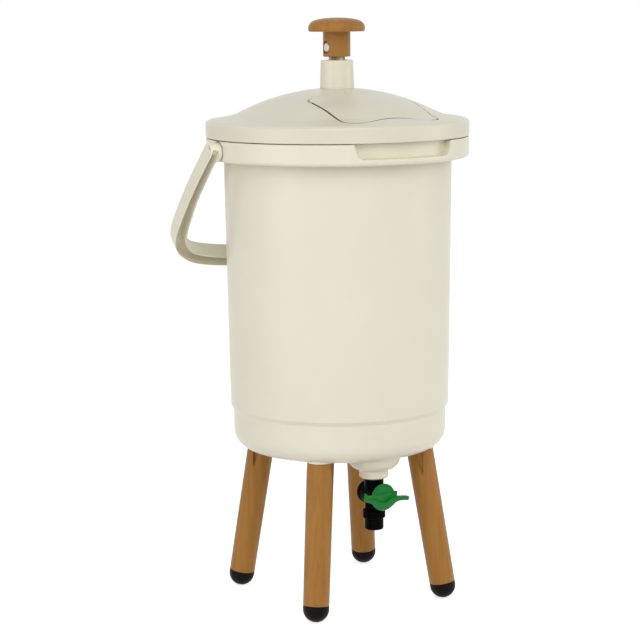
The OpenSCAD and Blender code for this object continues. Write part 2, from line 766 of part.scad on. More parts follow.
module push_knob() {
    low = cap_low_z;
    outline = [for (p = [[0.9, 0], [0.2, 0.13], [0, 0.26], [0.4, 0.4], [1.5, 0.54], [3.1, 0.66],
        [5.3, 0.755], [8.4, 0.83], [12.1, 0.89], [16.2, 0.932], [21.9, 0.97], [27.9, 0.993]])
        [knob_r - p[0], low + knob_h * p[1]]];
    color(wood_brown) on_axis() difference() {
        union() {
            translate([0, 0, stem_low_z]) cylinder(r = stem_r, h = stem_h + 1);
            rotate_extrude() polygon(concat([[0, low]], outline, [[0, knob_top_z]]));
        }
        translate([0, 0, stem_low_z - 1]) cylinder(r = rod_r + 0.2, h = stem_h - 7.6);
        ring(stem_r + 2.5, knob_r - 3.4, low - 1, low + 4);
        translate([0, 0, stem_low_z + 11]) rotate([0, 90, 0]) {
            translate([0, 0, -stem_r - 1]) cylinder(r = cross_pin_r + seat_clear, h = 2 * stem_r + 2);
            for (z = [-stem_r - 1, stem_r - 3.5]) translate([0, 0, z]) cylinder(r = cross_hole_r, h = 4.5);
        }
    }
}

module knob_cross_pin() {
    color([0.93, 0.93, 0.93]) on_axis() translate([1 - stem_r, 0, stem_low_z + 11]) rotate([0, 90, 0])
        cylinder(r = cross_pin_r, h = 2 * stem_r - 2);
}

// Cross-shaped profile of the rod
module rod_profile(g) {
    half = sqrt(pow(rod_r, 2) - pow(blade_t / 2, 2)) + g;
    for (a = [0, 90]) rotate([0, 0, a])
        translate([-half, -blade_t / 2 - g]) square([2 * half, blade_t + 2 * g]);
}

module push_rod() {
    color(cream) on_axis() difference() {
        translate([0, 0, plate_z + plate_t])
            linear_extrude(height = cap_low_z - 8.6 - plate_z - plate_t) rod_profile(0);
        translate([-2 * rod_r, 0, stem_low_z + 11]) rotate([0, 90, 0])
            cylinder(r = cross_pin_r + seat_clear, h = 4 * rod_r);
        translate([-2 * rod_r, 0, hub_top_z - 9]) rotate([0, 90, 0])
            cylinder(r = 3 + seat_clear, h = 4 * rod_r);
    }
}

module press_plate() {
    color(cream) on_axis() difference() {
        union() {
            translate([0, 0, plate_z]) cylinder(r = plate_r, h = plate_t);
            ring(plate_r - 2.5, plate_r, plate_z, plate_z + plate_rim);
            translate([0, 0, plate_z]) cylinder(r = hub_r, h = hub_h);
            for (a = [15:30:345]) rotate([0, 0, a]) translate([0, -1.2, plate_z]) rotate([90, 0, 0])
                translate([0, 0, -2.4]) linear_extrude(height = 2.4) polygon([[hub_r - 2, 0],
                    [plate_r - 1, 0], [plate_r - 1, plate_rim], [hub_r - 2, hub_h - 3]]);
        }
        translate([0, 0, plate_z + plate_t]) linear_extrude(height = hub_h) rod_profile(seat_clear);
        translate([-2 * hub_r, 0, hub_top_z - 9]) rotate([0, 90, 0])
            cylinder(r = 3 + seat_clear, h = 4 * hub_r);
    }
}

module plate_pin() {
    color([0.93, 0.93, 0.93]) on_axis() translate([-hub_r, 0, hub_top_z - 9]) rotate([0, 90, 0])
        cylinder(r = 3, h = 2 * hub_r);
}

// Middle line of the right half of the bail: x, s, direction angle of its outward normal, thickness
function arm_point(s) = [arm_p * cos(arm_angle) - (s - arm_p * sin(arm_angle)) * tan(arm_angle), s,
    arm_angle, arm_t];

function bail_half(s_top) = let (corner_low = arm_angle, n = 14, m = 11) concat(
    [for (i = [0:6]) arm_point(s_top + (arm_low_s - 2 - s_top) * i / 6)],
    [for (i = [0:n]) let (a = corner_low + (grip_a - corner_low) * i / n, t = i / n)
        [corner_x + corner_mid_r * cos(a), corner_s + corner_mid_r * sin(a), a,
         arm_t + (grip_t - arm_t) * smooth(t)]],
    [for (i = [1:m]) let (a = grip_a + (90 - grip_a) * i / m)
        [grip_mid_r * cos(a), grip_c + grip_mid_r * sin(a), a, grip_t]]);

function bail_line(s_top) = let (h = bail_half(s_top)) concat(h,
    [for (i = [len(h) - 2:-1:0]) [-h[i][0], h[i][1], 180 - h[i][2], h[i][3]]]);

// Section of the bail: u across its thickness, m across its width
function bail_section(t) = let (h = half_bail_w, g = grip_edge, l = lip_edge, u = t / 2) [
    [u, l - h], [u, h - g], [u - 0.3 * g, h - 0.3 * g], [u - g, h],
    [g - u, h], [0.3 * g - u, h - 0.3 * g], [-u, h - g], [-u, l - h], [0.3 * l - u, 0.3 * l - h],
    [l - u, -h], [u - l, -h], [u - 0.3 * l, 0.3 * l - h]];

function groove_section(t) = let (o = t / 2 - outer_lip, i = outer_lip + (t - arm_t) / 3 + 1.2 - t / 2) [
    [o, -half_bail_w - 2], [o, groove_depth - half_bail_w - 1], [o - 1, groove_depth - half_bail_w],
    [i + 1, groove_depth - half_bail_w], [i, groove_depth - half_bail_w - 1], [i, -half_bail_w - 2]];

// Solid swept along the bail, sections given for each station
module bail_sweep(line, sections) {
    k = len(sections[0]);
    n = len(line);
    pts = [for (i = [0:n - 1], q = sections[i])
        [line[i][0] + q[0] * cos(line[i][2]), q[1], -line[i][1] - q[0] * sin(line[i][2])]];
    polyhedron(points = pts, convexity = 6, faces = concat(
        [for (i = [0:n - 2], j = [0:k - 1]) let (b = (j + 1) % k)
            [i * k + j, i * k + b, (i + 1) * k + b, (i + 1) * k + j]],
        [[for (j = [k - 1:-1:0]) j]], [[for (j = [0:k - 1]) (n - 1) * k + j]]));
}

module bail_handle() {
    color(cream) on_axis() translate([0, datum_y, pivot_z]) rotate([bail_lean, 0, 0]) {
        solid = bail_line(pivot_s);
        slot = bail_line(pivot_s + 2);
        difference() {
            union() {
                bail_sweep(solid, [for (p = solid) bail_section(p[3])]);
                for (side = [-1, 1]) translate([side * (head_floor_x + side_clear), -arm_offset, -pivot_s])
                    rotate([0, side * 90, 0]) {
                        cylinder(r = head_r, h = bail_half_w - head_floor_x - side_clear - 1);
                        cylinder(r = head_r - 1, h = bail_half_w - head_floor_x - side_clear);
                    }
            }
            bail_sweep(slot, [for (p = slot) groove_section(p[3])]);
        }
        for (side = [-1, 1]) translate([side * (pivot_boss_in - 3), -arm_offset, -pivot_s])
            rotate([0, side * 90, 0]) {
                cylinder(r = pivot_r, h = head_floor_x - pivot_boss_in + 5);
                cylinder(r = snap_r, h = 3 - side_clear);
            }
    }
}

module tap_body() {
    color([0.06, 0.06, 0.07]) on_axis() translate([0, tap_y, 0]) difference() {
        union() {
            translate([0, 0, neck_top_z - 1]) cylinder(r = thread_r, h = thread_top_z - neck_top_z + 1);
            translate([0, 0, valve_z]) cylinder(r = neck_r, h = neck_top_z - valve_z);
            translate([0, housing_l, valve_z]) rotate([90, 0, 0]) {
                cylinder(r = housing_r, h = 2 * housing_l);
                cylinder(r = housing_r - 2, h = 2 * housing_l + 4.5 - side_clear);
            }
            translate([0, 0, tail_low_z]) cylinder(r = tail_r, h = valve_z - tail_low_z);
            translate([0, 0, outlet_top_z]) cylinder(r = lower_neck_r - 1, h = valve_z - outlet_top_z);
            for (a = [0:30:330]) rotate([0, 0, a]) translate([lower_neck_r - 2, -1, outlet_top_z])
                cube([2, 2, valve_z - outlet_top_z]);
        }
        translate([0, housing_l + 1, valve_z]) rotate([90, 0, 0]) {
            cylinder(r = chamber_r, h = 2 * housing_l - 1.5);
            cylinder(r = plug_stem_r + run_clear, h = 2 * housing_l + 10);
        }
        translate([0, 0, tail_low_z - 1]) cylinder(r = bore_r, h = thread_top_z - tail_low_z + 2);
    }
}

module tap_washer() {
    color([0.12, 0.12, 0.12]) on_axis() translate([0, tap_y, 0])
        ring(thread_r + seat_clear, neck_r + 1.4, neck_top_z, boss_low_z);
}

module tap_back_cap() {
    color([0.06, 0.06, 0.07]) on_axis() translate([0, tap_y + housing_l + back_cap_t, valve_z])
        rotate([90, 0, 0]) {
            translate([0, 0, 1]) cylinder(r = back_cap_r, h = back_cap_t - 1);
            cylinder(r = back_cap_r - 1, h = back_cap_t);
            cylinder(r = chamber_r - seat_clear, h = back_cap_t + 2.5);
        }
}

module tap_outlet_collar() {
    color([0.06, 0.06, 0.07]) on_axis() translate([0, tap_y, 0]) difference() {
        rotate_extrude() polygon(concat([[0, outlet_top_z], [0, outlet_low_z]],
            arc_pts([outlet_r - 2, outlet_low_z + 2], 2, -90, 0, 4),
            [[outlet_r, flange_low_z], [flange_r, flange_low_z + 1], [flange_r, outlet_top_z - 1],
             [flange_r - 1, outlet_top_z]]));
        translate([0, 0, outlet_low_z - 1]) cylinder(r = mouth_r, h = 60);
        translate([0, 0, tail_low_z]) cylinder(r = tail_r + seat_clear, h = 60);
        for (a = [15:30:345]) rotate([0, 0, a]) translate([flange_r - 1.2, -1.6, flange_low_z - 1])
            cube([4, 3.2, flange_h - 1.5]);
    }
}

// The plug is drawn along Y, with its waterway across, as it stands when the tap is shut
module tap_plug() {
    half = housing_l - 2.5 - side_clear;
    color([0.2, 0.2, 0.2]) on_axis() translate([0, tap_y, valve_z]) difference() {
        rotate([90, 0, 0]) {
            translate([0, 0, -half]) cylinder(r = plug_r, h = 2 * half);
            cylinder(r = plug_stem_r, h = -lever_back_y + lever_t - 1.5);
        }
        rotate([0, 90, 0]) translate([0, 0, -2 * plug_r]) cylinder(r = bore_r, h = 4 * plug_r);
        for (y = [-half + 0.5, half - 2.1]) translate([0, y, 0]) rotate([-90, 0, 0])
            difference() {
                cylinder(r = plug_r + 1, h = 1.6);
                translate([0, 0, -1]) cylinder(r = plug_r - 1.2, h = 4);
            }
        translate([-plug_stem_r - 1, lever_face_y, plug_stem_r - 1])
            cube([2 * plug_stem_r + 2, lever_t, 4]);
    }
}

module plug_ring(y) {
    color([0.12, 0.12, 0.12]) on_axis() translate([0, tap_y + y, valve_z]) rotate([-90, 0, 0])
        ring(plug_r - 1.2 + seat_clear, plug_r, seat_clear, 1.6 - seat_clear);
}

module plug_ring_front() { plug_ring(side_clear + 3 - housing_l); }

module plug_ring_rear() { plug_ring(housing_l - side_clear - 4.6); }

module tap_lever() {
    face = -lever_face_y;
    color(tap_green) on_axis() translate([0, tap_y, valve_z]) rotate([90, 0, 0]) {
        difference() {
            union() {
                translate([0, 0, face - lever_t]) cylinder(r = lever_r, h = lever_t);
                rotate([0, 0, -lever_dip]) translate([0, 0, face - lever_t + 1.5])
                    linear_extrude(height = lever_t + fin_reach - 1.5) polygon([
                        [-short_wing, 8.5], [-short_wing + 4, 5.5], [-short_wing + 9, 5], [-9, 1.5],
                        [0, -1.5], [9, 1.5], [long_wing - 2, 1.5], [long_wing, -0.5],
                        [long_wing - 1, -5], [14, -5.5], [8, -9], [0, -13], [-7, -11.5],
                        [-12, -7], [-short_wing + 8, -2], [-short_wing + 1, -1]]);
                rotate([0, 0, -lever_dip]) translate([9, -1, face - lever_t + 1.4])
                    cube([11, 9.5, lever_t - 1.9]);
            }
            difference() {
                translate([0, 0, face - lever_t - 1])
                    cylinder(r = plug_stem_r + seat_clear, h = lever_t - 0.5);
                translate([-plug_stem_r - 1, plug_stem_r - 1 + seat_clear, 0])
                    cube([2 * plug_stem_r + 2, 4, 60]);
            }
        }
    }
}

bin_body();
strainer();
leg_front_left();
leg_front_right();
leg_rear_right();
leg_rear_left();
foot_front_left();
foot_front_right();
foot_rear_right();
foot_rear_left();
lid();
lid_seal();
guide_tube();
guide_nut();
feed_flap();
flap_gasket();
flap_hinge_pin();
push_knob();
knob_cross_pin();
push_rod();
press_plate();
plate_pin();
bail_handle();
tap_body();
tap_washer();
tap_back_cap();
tap_outlet_collar();
tap_plug();
plug_ring_front();
plug_ring_rear();
tap_lever();
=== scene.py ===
import json
import math
import bmesh
import bpy
import numpy as np
from mathutils import Matrix, Vector


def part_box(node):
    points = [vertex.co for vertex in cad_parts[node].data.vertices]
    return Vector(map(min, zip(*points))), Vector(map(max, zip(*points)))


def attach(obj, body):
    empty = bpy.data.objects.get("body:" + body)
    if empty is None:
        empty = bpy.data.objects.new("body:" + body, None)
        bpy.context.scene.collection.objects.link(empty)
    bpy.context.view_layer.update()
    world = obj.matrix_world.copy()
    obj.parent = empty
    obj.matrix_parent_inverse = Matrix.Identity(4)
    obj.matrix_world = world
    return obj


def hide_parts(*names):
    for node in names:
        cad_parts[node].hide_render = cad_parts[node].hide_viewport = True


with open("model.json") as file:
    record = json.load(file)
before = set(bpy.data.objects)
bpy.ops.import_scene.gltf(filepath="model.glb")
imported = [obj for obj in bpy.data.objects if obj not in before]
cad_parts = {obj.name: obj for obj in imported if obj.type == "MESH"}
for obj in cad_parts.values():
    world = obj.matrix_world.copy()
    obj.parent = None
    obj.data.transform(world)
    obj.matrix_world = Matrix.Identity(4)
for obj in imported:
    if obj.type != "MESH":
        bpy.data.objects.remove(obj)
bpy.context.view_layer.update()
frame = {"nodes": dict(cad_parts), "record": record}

mm = 0.001
lowCorner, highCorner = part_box("bin_body")
axisY = (lowCorner.y + highCorner.y) / 2 / mm   # the bin's own axis, a few millimetres in front of the box's middle


# Quads between neighbouring rows and columns of a grid of points, wrapped where a direction is closed
def gridQuads(rows, cols, closeRows=False, closeCols=True):
    r = np.arange(rows if closeRows else rows - 1)[:, None]
    c = np.arange(cols if closeCols else cols - 1)[None, :]
    r2, c2 = (r + 1) % rows, (c + 1) % cols
    return np.stack([r * cols + c, r * cols + c2, r2 * cols + c2, r2 * cols + c], -1).reshape(-1, 4)


# Grid of points [row, column, 3] as one part of a mesh
def part(grid, closeRows=False, closeCols=True):
    return grid.reshape(-1, 3), gridQuads(grid.shape[0], grid.shape[1], closeRows, closeCols)


# Evenly turned columns, all the way round
def around(cols):
    return np.linspace(0, 2 * np.pi, cols, endpoint=False)


# Profile points (r, z) turned about a vertical axis at (x0, y0): x = r sin a, y = -r cos a
def turned(profile, cols=128, centre=(0.0, 0.0), angles=None):
    a = around(cols) if angles is None else angles
    r, z = profile[:, 0][:, None], profile[:, 1][:, None]
    return np.stack([centre[0] + r * np.sin(a), centre[1] - r * np.cos(a), z + 0 * a], -1)


# Arc about c with radius r from angle a0 to a1 in degrees, n points
def arc(c, r, a0, a1, n):
    a = np.radians(np.linspace(a0, a1, n))
    return np.stack([c[0] + r * np.cos(a), c[1] + r * np.sin(a)], -1)


# Polyline with each corner replaced by an arc of its own radius, k + 1 points an arc; radius 0 keeps the corner
def rounded(points, radii, k=6):
    p = np.asarray(points, float)
    out = [p[:1]]
    for i in range(1, len(p) - 1):
        a, b = p[i - 1] - p[i], p[i + 1] - p[i]
        la, lb = np.linalg.norm(a), np.linalg.norm(b)
        a, b = a / la, b / lb
        half = math.acos(max(-1, min(1, float(a @ b)))) / 2
        r = radii[i]
        if r <= 0 or half > 1.56:
            out.append(p[i:i + 1])
            continue
        d = min(r / math.tan(half), la * 0.49, lb * 0.49)
        rr = d * math.tan(half)
        c = p[i] + (a + b) / np.linalg.norm(a + b) * (rr / math.sin(half))
        s, e = p[i] + a * d - c, p[i] + b * d - c
        t = np.linspace(0, 1, k + 1)[:, None]
        w = math.acos(max(-1, min(1, float(s @ e) / rr ** 2)))
        out.append(c + (np.sin((1 - t) * w) * s + np.sin(t * w) * e) / math.sin(w))
    out.append(p[-1:])
    return np.concatenate(out)


# Profile (r, z) of a drum with its lower and upper edge rounded by e0 and e1
def drum(r, z0, z1, e0, e1, k):
    return rounded([(0.01, z0), (r, z0), (r, z1), (0.01, z1)], [0, e0, e1, 0], k)


# Closed profile of a sleeve around a pin, its outer edges rounded
def sleeve(r0, r1, z0, z1):
    return rounded([(r0, z0), (r1, z0), (r1, z1), (r0, z1), (r0, z0)], [0, 0.3, 0.3, 0, 0], 3)


# Profile with points added so that no step along it is longer than asked; its own points stay
def refined(profile, step):
    profile = np.asarray(profile, float)
    lengths = np.hypot(*np.diff(profile, axis=0).T)
    at = np.concatenate([[0], np.cumsum(lengths)])
    pieces = [np.linspace(a, b, max(2, int(math.ceil((b - a) / step)) + 1)) for a, b in zip(at[:-1], at[1:])]
    u = np.unique(np.round(np.concatenate(pieces), 6))
    return np.stack([np.interp(u, at, profile[:, 0]), np.interp(u, at, profile[:, 1])], -1)


# Points spread along lo..hi so that their density follows weight(t)
def spread(n, lo, hi, weight):
    t = np.linspace(lo, hi, 4001)
    c = np.concatenate([[0], np.cumsum((weight(t)[1:] + weight(t)[:-1]) / 2)])
    return np.interp(np.linspace(0, c[-1], n), c, t)


# 0 up to 0, 1 from 1 on, and the cubic 3t^2 - 2t^3 between them
def smooth(t):
    u = np.clip(t, 0, 1)
    return u * u * (3 - 2 * u)


# 1 where d is above zero and 0 below, over a soft edge as wide as given
def within(d, edge):
    return smooth(d / edge + 0.5)


# 1 within half a width of the middle, falling smoothly to 0 over the given edge
def hump(t, middle, half, edge):
    return smooth((half - np.abs(t - middle)) / edge + 1)


# Turns points about an axis through c, angle in degrees
def spun(grid, axis, angle, c=(0, 0, 0)):
    a = math.radians(angle)
    k = np.asarray(axis, float) / np.linalg.norm(axis)
    v = grid - np.asarray(c, float)
    return (v * math.cos(a) + np.cross(k, v) * math.sin(a)
            + (v @ k)[..., None] * k * (1 - math.cos(a)) + np.asarray(c, float))


# A turned piece laid along X: the height becomes x, and the piece is moved to (0, y, z)
def alongX(grid, y, z):
    return grid[..., [2, 0, 1]] + [0, y, z]


# Closed loop of points in a plane moved inwards by g, each point along its own mitre; the loop runs anticlockwise
def inset(loop, g):
    d1 = loop - np.roll(loop, 1, 0)
    d2 = np.roll(loop, -1, 0) - loop
    n1 = np.stack([-d1[:, 1], d1[:, 0]], -1) / np.linalg.norm(d1, axis=1)[:, None]
    n2 = np.stack([-d2[:, 1], d2[:, 0]], -1) / np.linalg.norm(d2, axis=1)[:, None]
    n = n1 + n2
    return loop + g * 2 * n / np.maximum((n ** 2).sum(1), 0.5)[:, None]


# The end of a grid closed over a loop [column, 3]: a row with all its points at the middle, after the loop if asked
def cap(loop, middle=None, keepFirst=False):
    c = 0 * loop + (loop.mean(0) if middle is None else middle)
    return np.stack([loop, c] if keepFirst else [c])


# One object from several parts given in millimetres about the bin's axis; doubles merged, normals outwards
def piece(name, parts, body, material, nodes=(), sharp=38):
    verts, faces, n = [], [], 0
    for v, f in parts:
        verts.append(v)
        faces.append(f + n)
        n += len(v)
    v = np.concatenate(verts) + [0, axisY, 0]
    me = bpy.data.meshes.new(name)
    me.from_pydata((v * mm).tolist(), [], np.concatenate(faces).tolist())
    bm = bmesh.new()
    bm.from_mesh(me)
    bmesh.ops.remove_doubles(bm, verts=bm.verts, dist=2e-6)
    bmesh.ops.dissolve_degenerate(bm, edges=bm.edges, dist=1e-6)
    bmesh.ops.recalc_face_normals(bm, faces=bm.faces)
    bm.to_mesh(me)
    bm.free()
    me.shade_smooth()
    me.set_sharp_from_angle(angle=math.radians(sharp))
    obj = bpy.data.objects.new(name, me)
    bpy.context.scene.collection.objects.link(obj)
    me.materials.append(material)
    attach(obj, body)
    if nodes:
        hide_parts(*nodes)
    return obj


# A node of a kind, with its settings and the values of its sockets
def addNode(tree, kind, sockets=None, **settings):
    n = tree.nodes.new("ShaderNode" + kind)
    for key, value in settings.items():
        setattr(n, key, value)
    for key, value in (sockets or {}).items():
        n.inputs[key].default_value = value
    return n


# Links from a node's output to a node's input, each written (node, output, node, input)
def link(tree, *links):
    for source, out, target, into in links:
        tree.links.new(source.outputs[out], target.inputs[into])


# An empty shader group with its sockets, and its input and output nodes
def newGroup(name, inputs, outputs):
    g = bpy.data.node_groups.new(name, "ShaderNodeTree")
    for key, (kind, value) in inputs.items():
        g.interface.new_socket(name=key, in_out="INPUT", socket_type="NodeSocket" + kind).default_value = value
    for key, kind in outputs.items():
        g.interface.new_socket(name=key, in_out="OUTPUT", socket_type="NodeSocket" + kind)
    return g, g.nodes.new("NodeGroupInput"), g.nodes.new("NodeGroupOutput")


# Fractal noise of 0..1, as many features to a metre as its scale says
def noiseNode(tree, scale, detail, rough, distortion=0.0):
    return addNode(tree, "TexNoise", {"Scale": scale, "Detail": detail, "Roughness": rough, "Distortion": distortion})


# lo..hi drawn out to outLo..outHi, clipped at both ends
def mapRange(tree, lo, hi, outLo=0.0, outHi=1.0):
    return addNode(tree, "MapRange", {"From Min": lo, "From Max": hi, "To Min": outLo, "To Max": outHi})


# The end of a two-tone group: mask times amount mixes the tones, and both leave the group
def mixTones(g, gi, go, mask, maskOut, toneA, toneB, maskName):
    amount = addNode(g, "Math", operation="MULTIPLY")
    mix = addNode(g, "Mix", data_type="RGBA")   # its colour sockets are inputs 6 and 7 and output 2
    link(g, (mask, maskOut, amount, 0), (gi, "Amount", amount, 1), (amount, "Value", mix, "Factor"),
         (gi, toneA, mix, 6), (gi, toneB, mix, 7), (mix, 2, go, "Color"), (amount, "Value", go, maskName))


# Colour that drifts between two tones in soft patches
def makeMottle():
    g, gi, go = newGroup("mottle", {"Tone A": ("Color", (1, 1, 1, 1)), "Tone B": ("Color", (0, 0, 0, 1)),
                                    "Scale": ("Float", 12.0), "Amount": ("Float", 0.5)},
                         {"Color": "Color", "Mask": "Float"})
    place = addNode(g, "TexCoord")
    patches = noiseNode(g, 12, 4, 0.55, 0.6)
    share = mapRange(g, 0.3, 0.7)
    link(g, (place, "Object", patches, "Vector"), (gi, "Scale", patches, "Scale"), (patches, "Fac", share, "Value"))
    mixTones(g, gi, go, share, "Result", "Tone A", "Tone B", "Mask")
    return g


# Fine moulded skin: a wide noise sinks the surface and a fine one grains it, as one bump over the other
def makeSkin():
    g, gi, go = newGroup("mouldedSkin", {"Grain Size": ("Float", 900.0), "Grain": ("Float", 0.1),
                                         "Sink": ("Float", 0.1)}, {"Normal": "Vector"})
    place = addNode(g, "TexCoord")
    fine, wide = noiseNode(g, 900, 2, 0.6), noiseNode(g, 14, 2, 0.5)
    sunk, grained = addNode(g, "Bump", {"Distance": 0.0015}), addNode(g, "Bump", {"Distance": 0.0001})
    link(g, (place, "Object", fine, "Vector"), (gi, "Grain Size", fine, "Scale"), (place, "Object", wide, "Vector"),
         (gi, "Sink", sunk, "Strength"), (wide, "Fac", sunk, "Height"), (gi, "Grain", grained, "Strength"),
         (fine, "Fac", grained, "Height"), (sunk, "Normal", grained, "Normal"), (grained, "Normal", go, "Normal"))
    return g


# Long streaks of wood flour: noise on coordinates drawn out along the height, lightened and darkened in patches
def makeStreaks():
    g, gi, go = newGroup("woodFlour", {"Light": ("Color", (0.6, 0.4, 0.2, 1)), "Dark": ("Color", (0.4, 0.25, 0.1, 1)),
                                       "Across": ("Float", 260.0), "Along": ("Float", 14.0), "Amount": ("Float", 0.6)},
                         {"Color": "Color", "Streak": "Float"})
    place, scales = addNode(g, "TexCoord"), addNode(g, "CombineXYZ")
    drawn = addNode(g, "VectorMath", operation="MULTIPLY")
    streaks, patches = noiseNode(g, 1.0, 5, 0.62, 0.4), noiseNode(g, 22, 3, 0.5)
    share = mapRange(g, 0.32, 0.68)
    drift = addNode(g, "Math", {1: 0.5, 2: -0.25}, operation="MULTIPLY_ADD")
    total = addNode(g, "Math", operation="ADD", use_clamp=True)
    link(g, (gi, "Across", scales, 0), (gi, "Across", scales, 1), (gi, "Along", scales, 2),
         (place, "Object", drawn, 0), (scales, "Vector", drawn, 1), (drawn, "Vector", streaks, "Vector"),
         (place, "Object", patches, "Vector"), (streaks, "Fac", share, "Value"), (patches, "Fac", drift, 0),
         (share, "Result", total, 0), (drift, "Value", total, 1))
    mixTones(g, gi, go, total, "Value", "Light", "Dark", "Streak")
    return g


mottle, mouldedSkin, woodFlour = makeMottle(), makeSkin(), makeStreaks()


# A display colour of 0..255 as a linear one
def tone(r, g, b):
    c = np.array([r, g, b]) / 255
    c = np.where(c <= 0.04045, c / 12.92, ((c + 0.055) / 1.055) ** 2.4)
    return (*map(float, c), 1.0)


# A finish: a colour group fed with the look's own values, the moulded skin as bump, and roughness that follows the
# group's mask
def finish(name, look, group, keys, mask):
    m = bpy.data.materials.new(name)
    m.use_nodes = True
    t = m.node_tree
    surface = t.nodes["Principled BSDF"]
    for key, value in look.get("sockets", {}).items():
        surface.inputs[key].default_value = value
    colour = addNode(t, "Group", node_tree=group)
    for key, lookKey in keys.items():
        colour.inputs[key].default_value = look[lookKey]
    grain = addNode(t, "Group", node_tree=mouldedSkin)
    for key, value in (("Grain Size", look["grainSize"]), ("Grain", look["grain"]), ("Sink", look.get("sink", 0.05))):
        grain.inputs[key].default_value = value
    rough = mapRange(t, 0, 1, *look["rough"])
    link(t, (colour, "Color", surface, "Base Color"), (grain, "Normal", surface, "Normal"),
         (colour, mask, rough, "Value"), (rough, "Result", surface, "Roughness"))
    return m


# Moulded plastic, rubber or wire: two close tones in patches
def plastic(name, look):
    return finish(name, look, mottle, {"Tone A": "toneA", "Tone B": "toneB", "Scale": "patch", "Amount": "amount"},
                  "Mask")


# Plastic filled with wood flour: two tones in long streaks
def woodPlastic(name, look):
    return finish(name, look, woodFlour, {"Light": "light", "Dark": "dark", "Across": "across", "Along": "along",
                                          "Amount": "amount"}, "Streak")


# Looks: two tones, how many patches to a metre and their share, roughness from one tone to the other, how many grains
# to a metre and how strong, and where given how deep the surface sinks and values of its sockets
creamLook = {"toneA": tone(238, 234, 215), "toneB": tone(232, 226, 204), "patch": 7.0, "amount": 0.6,
             "rough": (0.30, 0.40), "grainSize": 1400.0, "grain": 0.10, "sink": 0.05,
             "sockets": {"Specular IOR Level": 0.45}}
# The lid's look is the bin's cream painted darker: painted shade on the lid, the feed flap and the guide tube
lidShadedLook = {"toneA": tone(230, 226, 207), "toneB": tone(223, 218, 196), "patch": 7.0, "amount": 0.6,
           "rough": (0.30, 0.40), "grainSize": 1400.0, "grain": 0.10, "sink": 0.05,
           "sockets": {"Specular IOR Level": 0.45}}
innerLook = {"toneA": tone(226, 220, 200), "toneB": tone(216, 208, 184), "patch": 11.0, "amount": 0.7,
             "rough": (0.42, 0.55), "grainSize": 1400.0, "grain": 0.15, "sink": 0.05}
siliconeLook = {"toneA": tone(206, 192, 160), "toneB": tone(194, 178, 146), "patch": 20.0, "amount": 0.7,
                "rough": (0.45, 0.6), "grainSize": 1800.0, "grain": 0.2, "sink": 0.05}
pinLook = {"toneA": tone(236, 236, 232), "toneB": tone(220, 220, 214), "patch": 40.0, "amount": 0.6,
           "rough": (0.35, 0.5), "grainSize": 2000.0, "grain": 0.1}
rubberLook = {"toneA": tone(7, 5, 3), "toneB": tone(11, 9, 7), "patch": 60.0, "amount": 0.8,
              "rough": (0.42, 0.62), "grainSize": 2600.0, "grain": 0.5, "sink": 0.1,
              "sockets": {"Specular IOR Level": 0.1}}
# Dark rubber of the flap's gasket; its raised lip also serves as painted shade in the seam
sealLook = {"toneA": tone(26, 26, 26), "toneB": tone(38, 38, 37), "patch": 60.0, "amount": 0.7,
            "rough": (0.5, 0.7), "grainSize": 2600.0, "grain": 0.4}
tapLook = {"toneA": tone(1, 1, 1), "toneB": tone(4, 4, 3), "patch": 50.0, "amount": 0.7,
           "rough": (0.34, 0.5), "grainSize": 2200.0, "grain": 0.3, "sink": 0.1,
           "sockets": {"Specular IOR Level": 0.03}}
leverLook = {"toneA": tone(4, 124, 44), "toneB": tone(10, 110, 40), "patch": 50.0, "amount": 0.7,
             "rough": (0.34, 0.46), "grainSize": 2200.0, "grain": 0.25, "sink": 0.15,
             "sockets": {"Specular IOR Level": 0.25}}
plugLook = {"toneA": tone(70, 72, 74), "toneB": tone(84, 86, 88), "patch": 60.0, "amount": 0.6,
            "rough": (0.35, 0.5), "grainSize": 2200.0, "grain": 0.2}
woodLook = {"light": tone(168, 117, 46), "dark": tone(138, 88, 28), "across": 190.0, "along": 5.0, "amount": 0.5,
            "rough": (0.42, 0.6), "grainSize": 1700.0, "grain": 0.15, "sockets": {"Specular IOR Level": 0.35}}
steelLook = {"toneA": tone(190, 192, 194), "toneB": tone(170, 172, 174), "patch": 90.0, "amount": 0.6,
             "rough": (0.25, 0.4), "grainSize": 3000.0, "grain": 0.1, "sockets": {"Metallic": 1.0}}

cream = plastic("creamPolypropylene", creamLook)
lidShadedCream = plastic("lidPolypropyleneShaded", lidShadedLook)
innerCream = plastic("plainCream", innerLook)
silicone = plastic("beigeSilicone", siliconeLook)
nylon = plastic("whiteNylon", pinLook)
footRubber = plastic("blackRubber", rubberLook)
sealRubber = plastic("softSeal", sealLook)
tapBlack = plastic("blackTapPlastic", tapLook)
leverGreen = plastic("greenLeverPlastic", leverLook)
plugGrey = plastic("greyAcetal", plugLook)
wood = woodPlastic("woodFilledPlastic", woodLook)
steel = plastic("drawnWire", steelLook)
slotLooks = {"bin_plastic": cream, "lid_plastic": lidShadedCream, "knob_composite": wood, "bail_plastic": cream,
             "rod_plastic": innerCream, "strainer_plastic": innerCream, "pin_plastic": nylon, "pin_steel": steel,
             "leg_composite": wood, "foot_rubber": footRubber, "seal_rubber": sealRubber, "seal_silicone": silicone,
             "tap_plastic": tapBlack, "plug_plastic": plugGrey, "lever_plastic": leverGreen}
# The frame's own nodes wear the same materials, by their slots
nodeSlots = {s["node"]: s["material_slot"] for s in frame["record"]["subparts"]}
for nodeName, nodeObject in frame["nodes"].items():
    nodeObject.data.materials.clear()
    nodeObject.data.materials.append(slotLooks[nodeSlots[nodeName]])
print("materials made:", len(slotLooks))

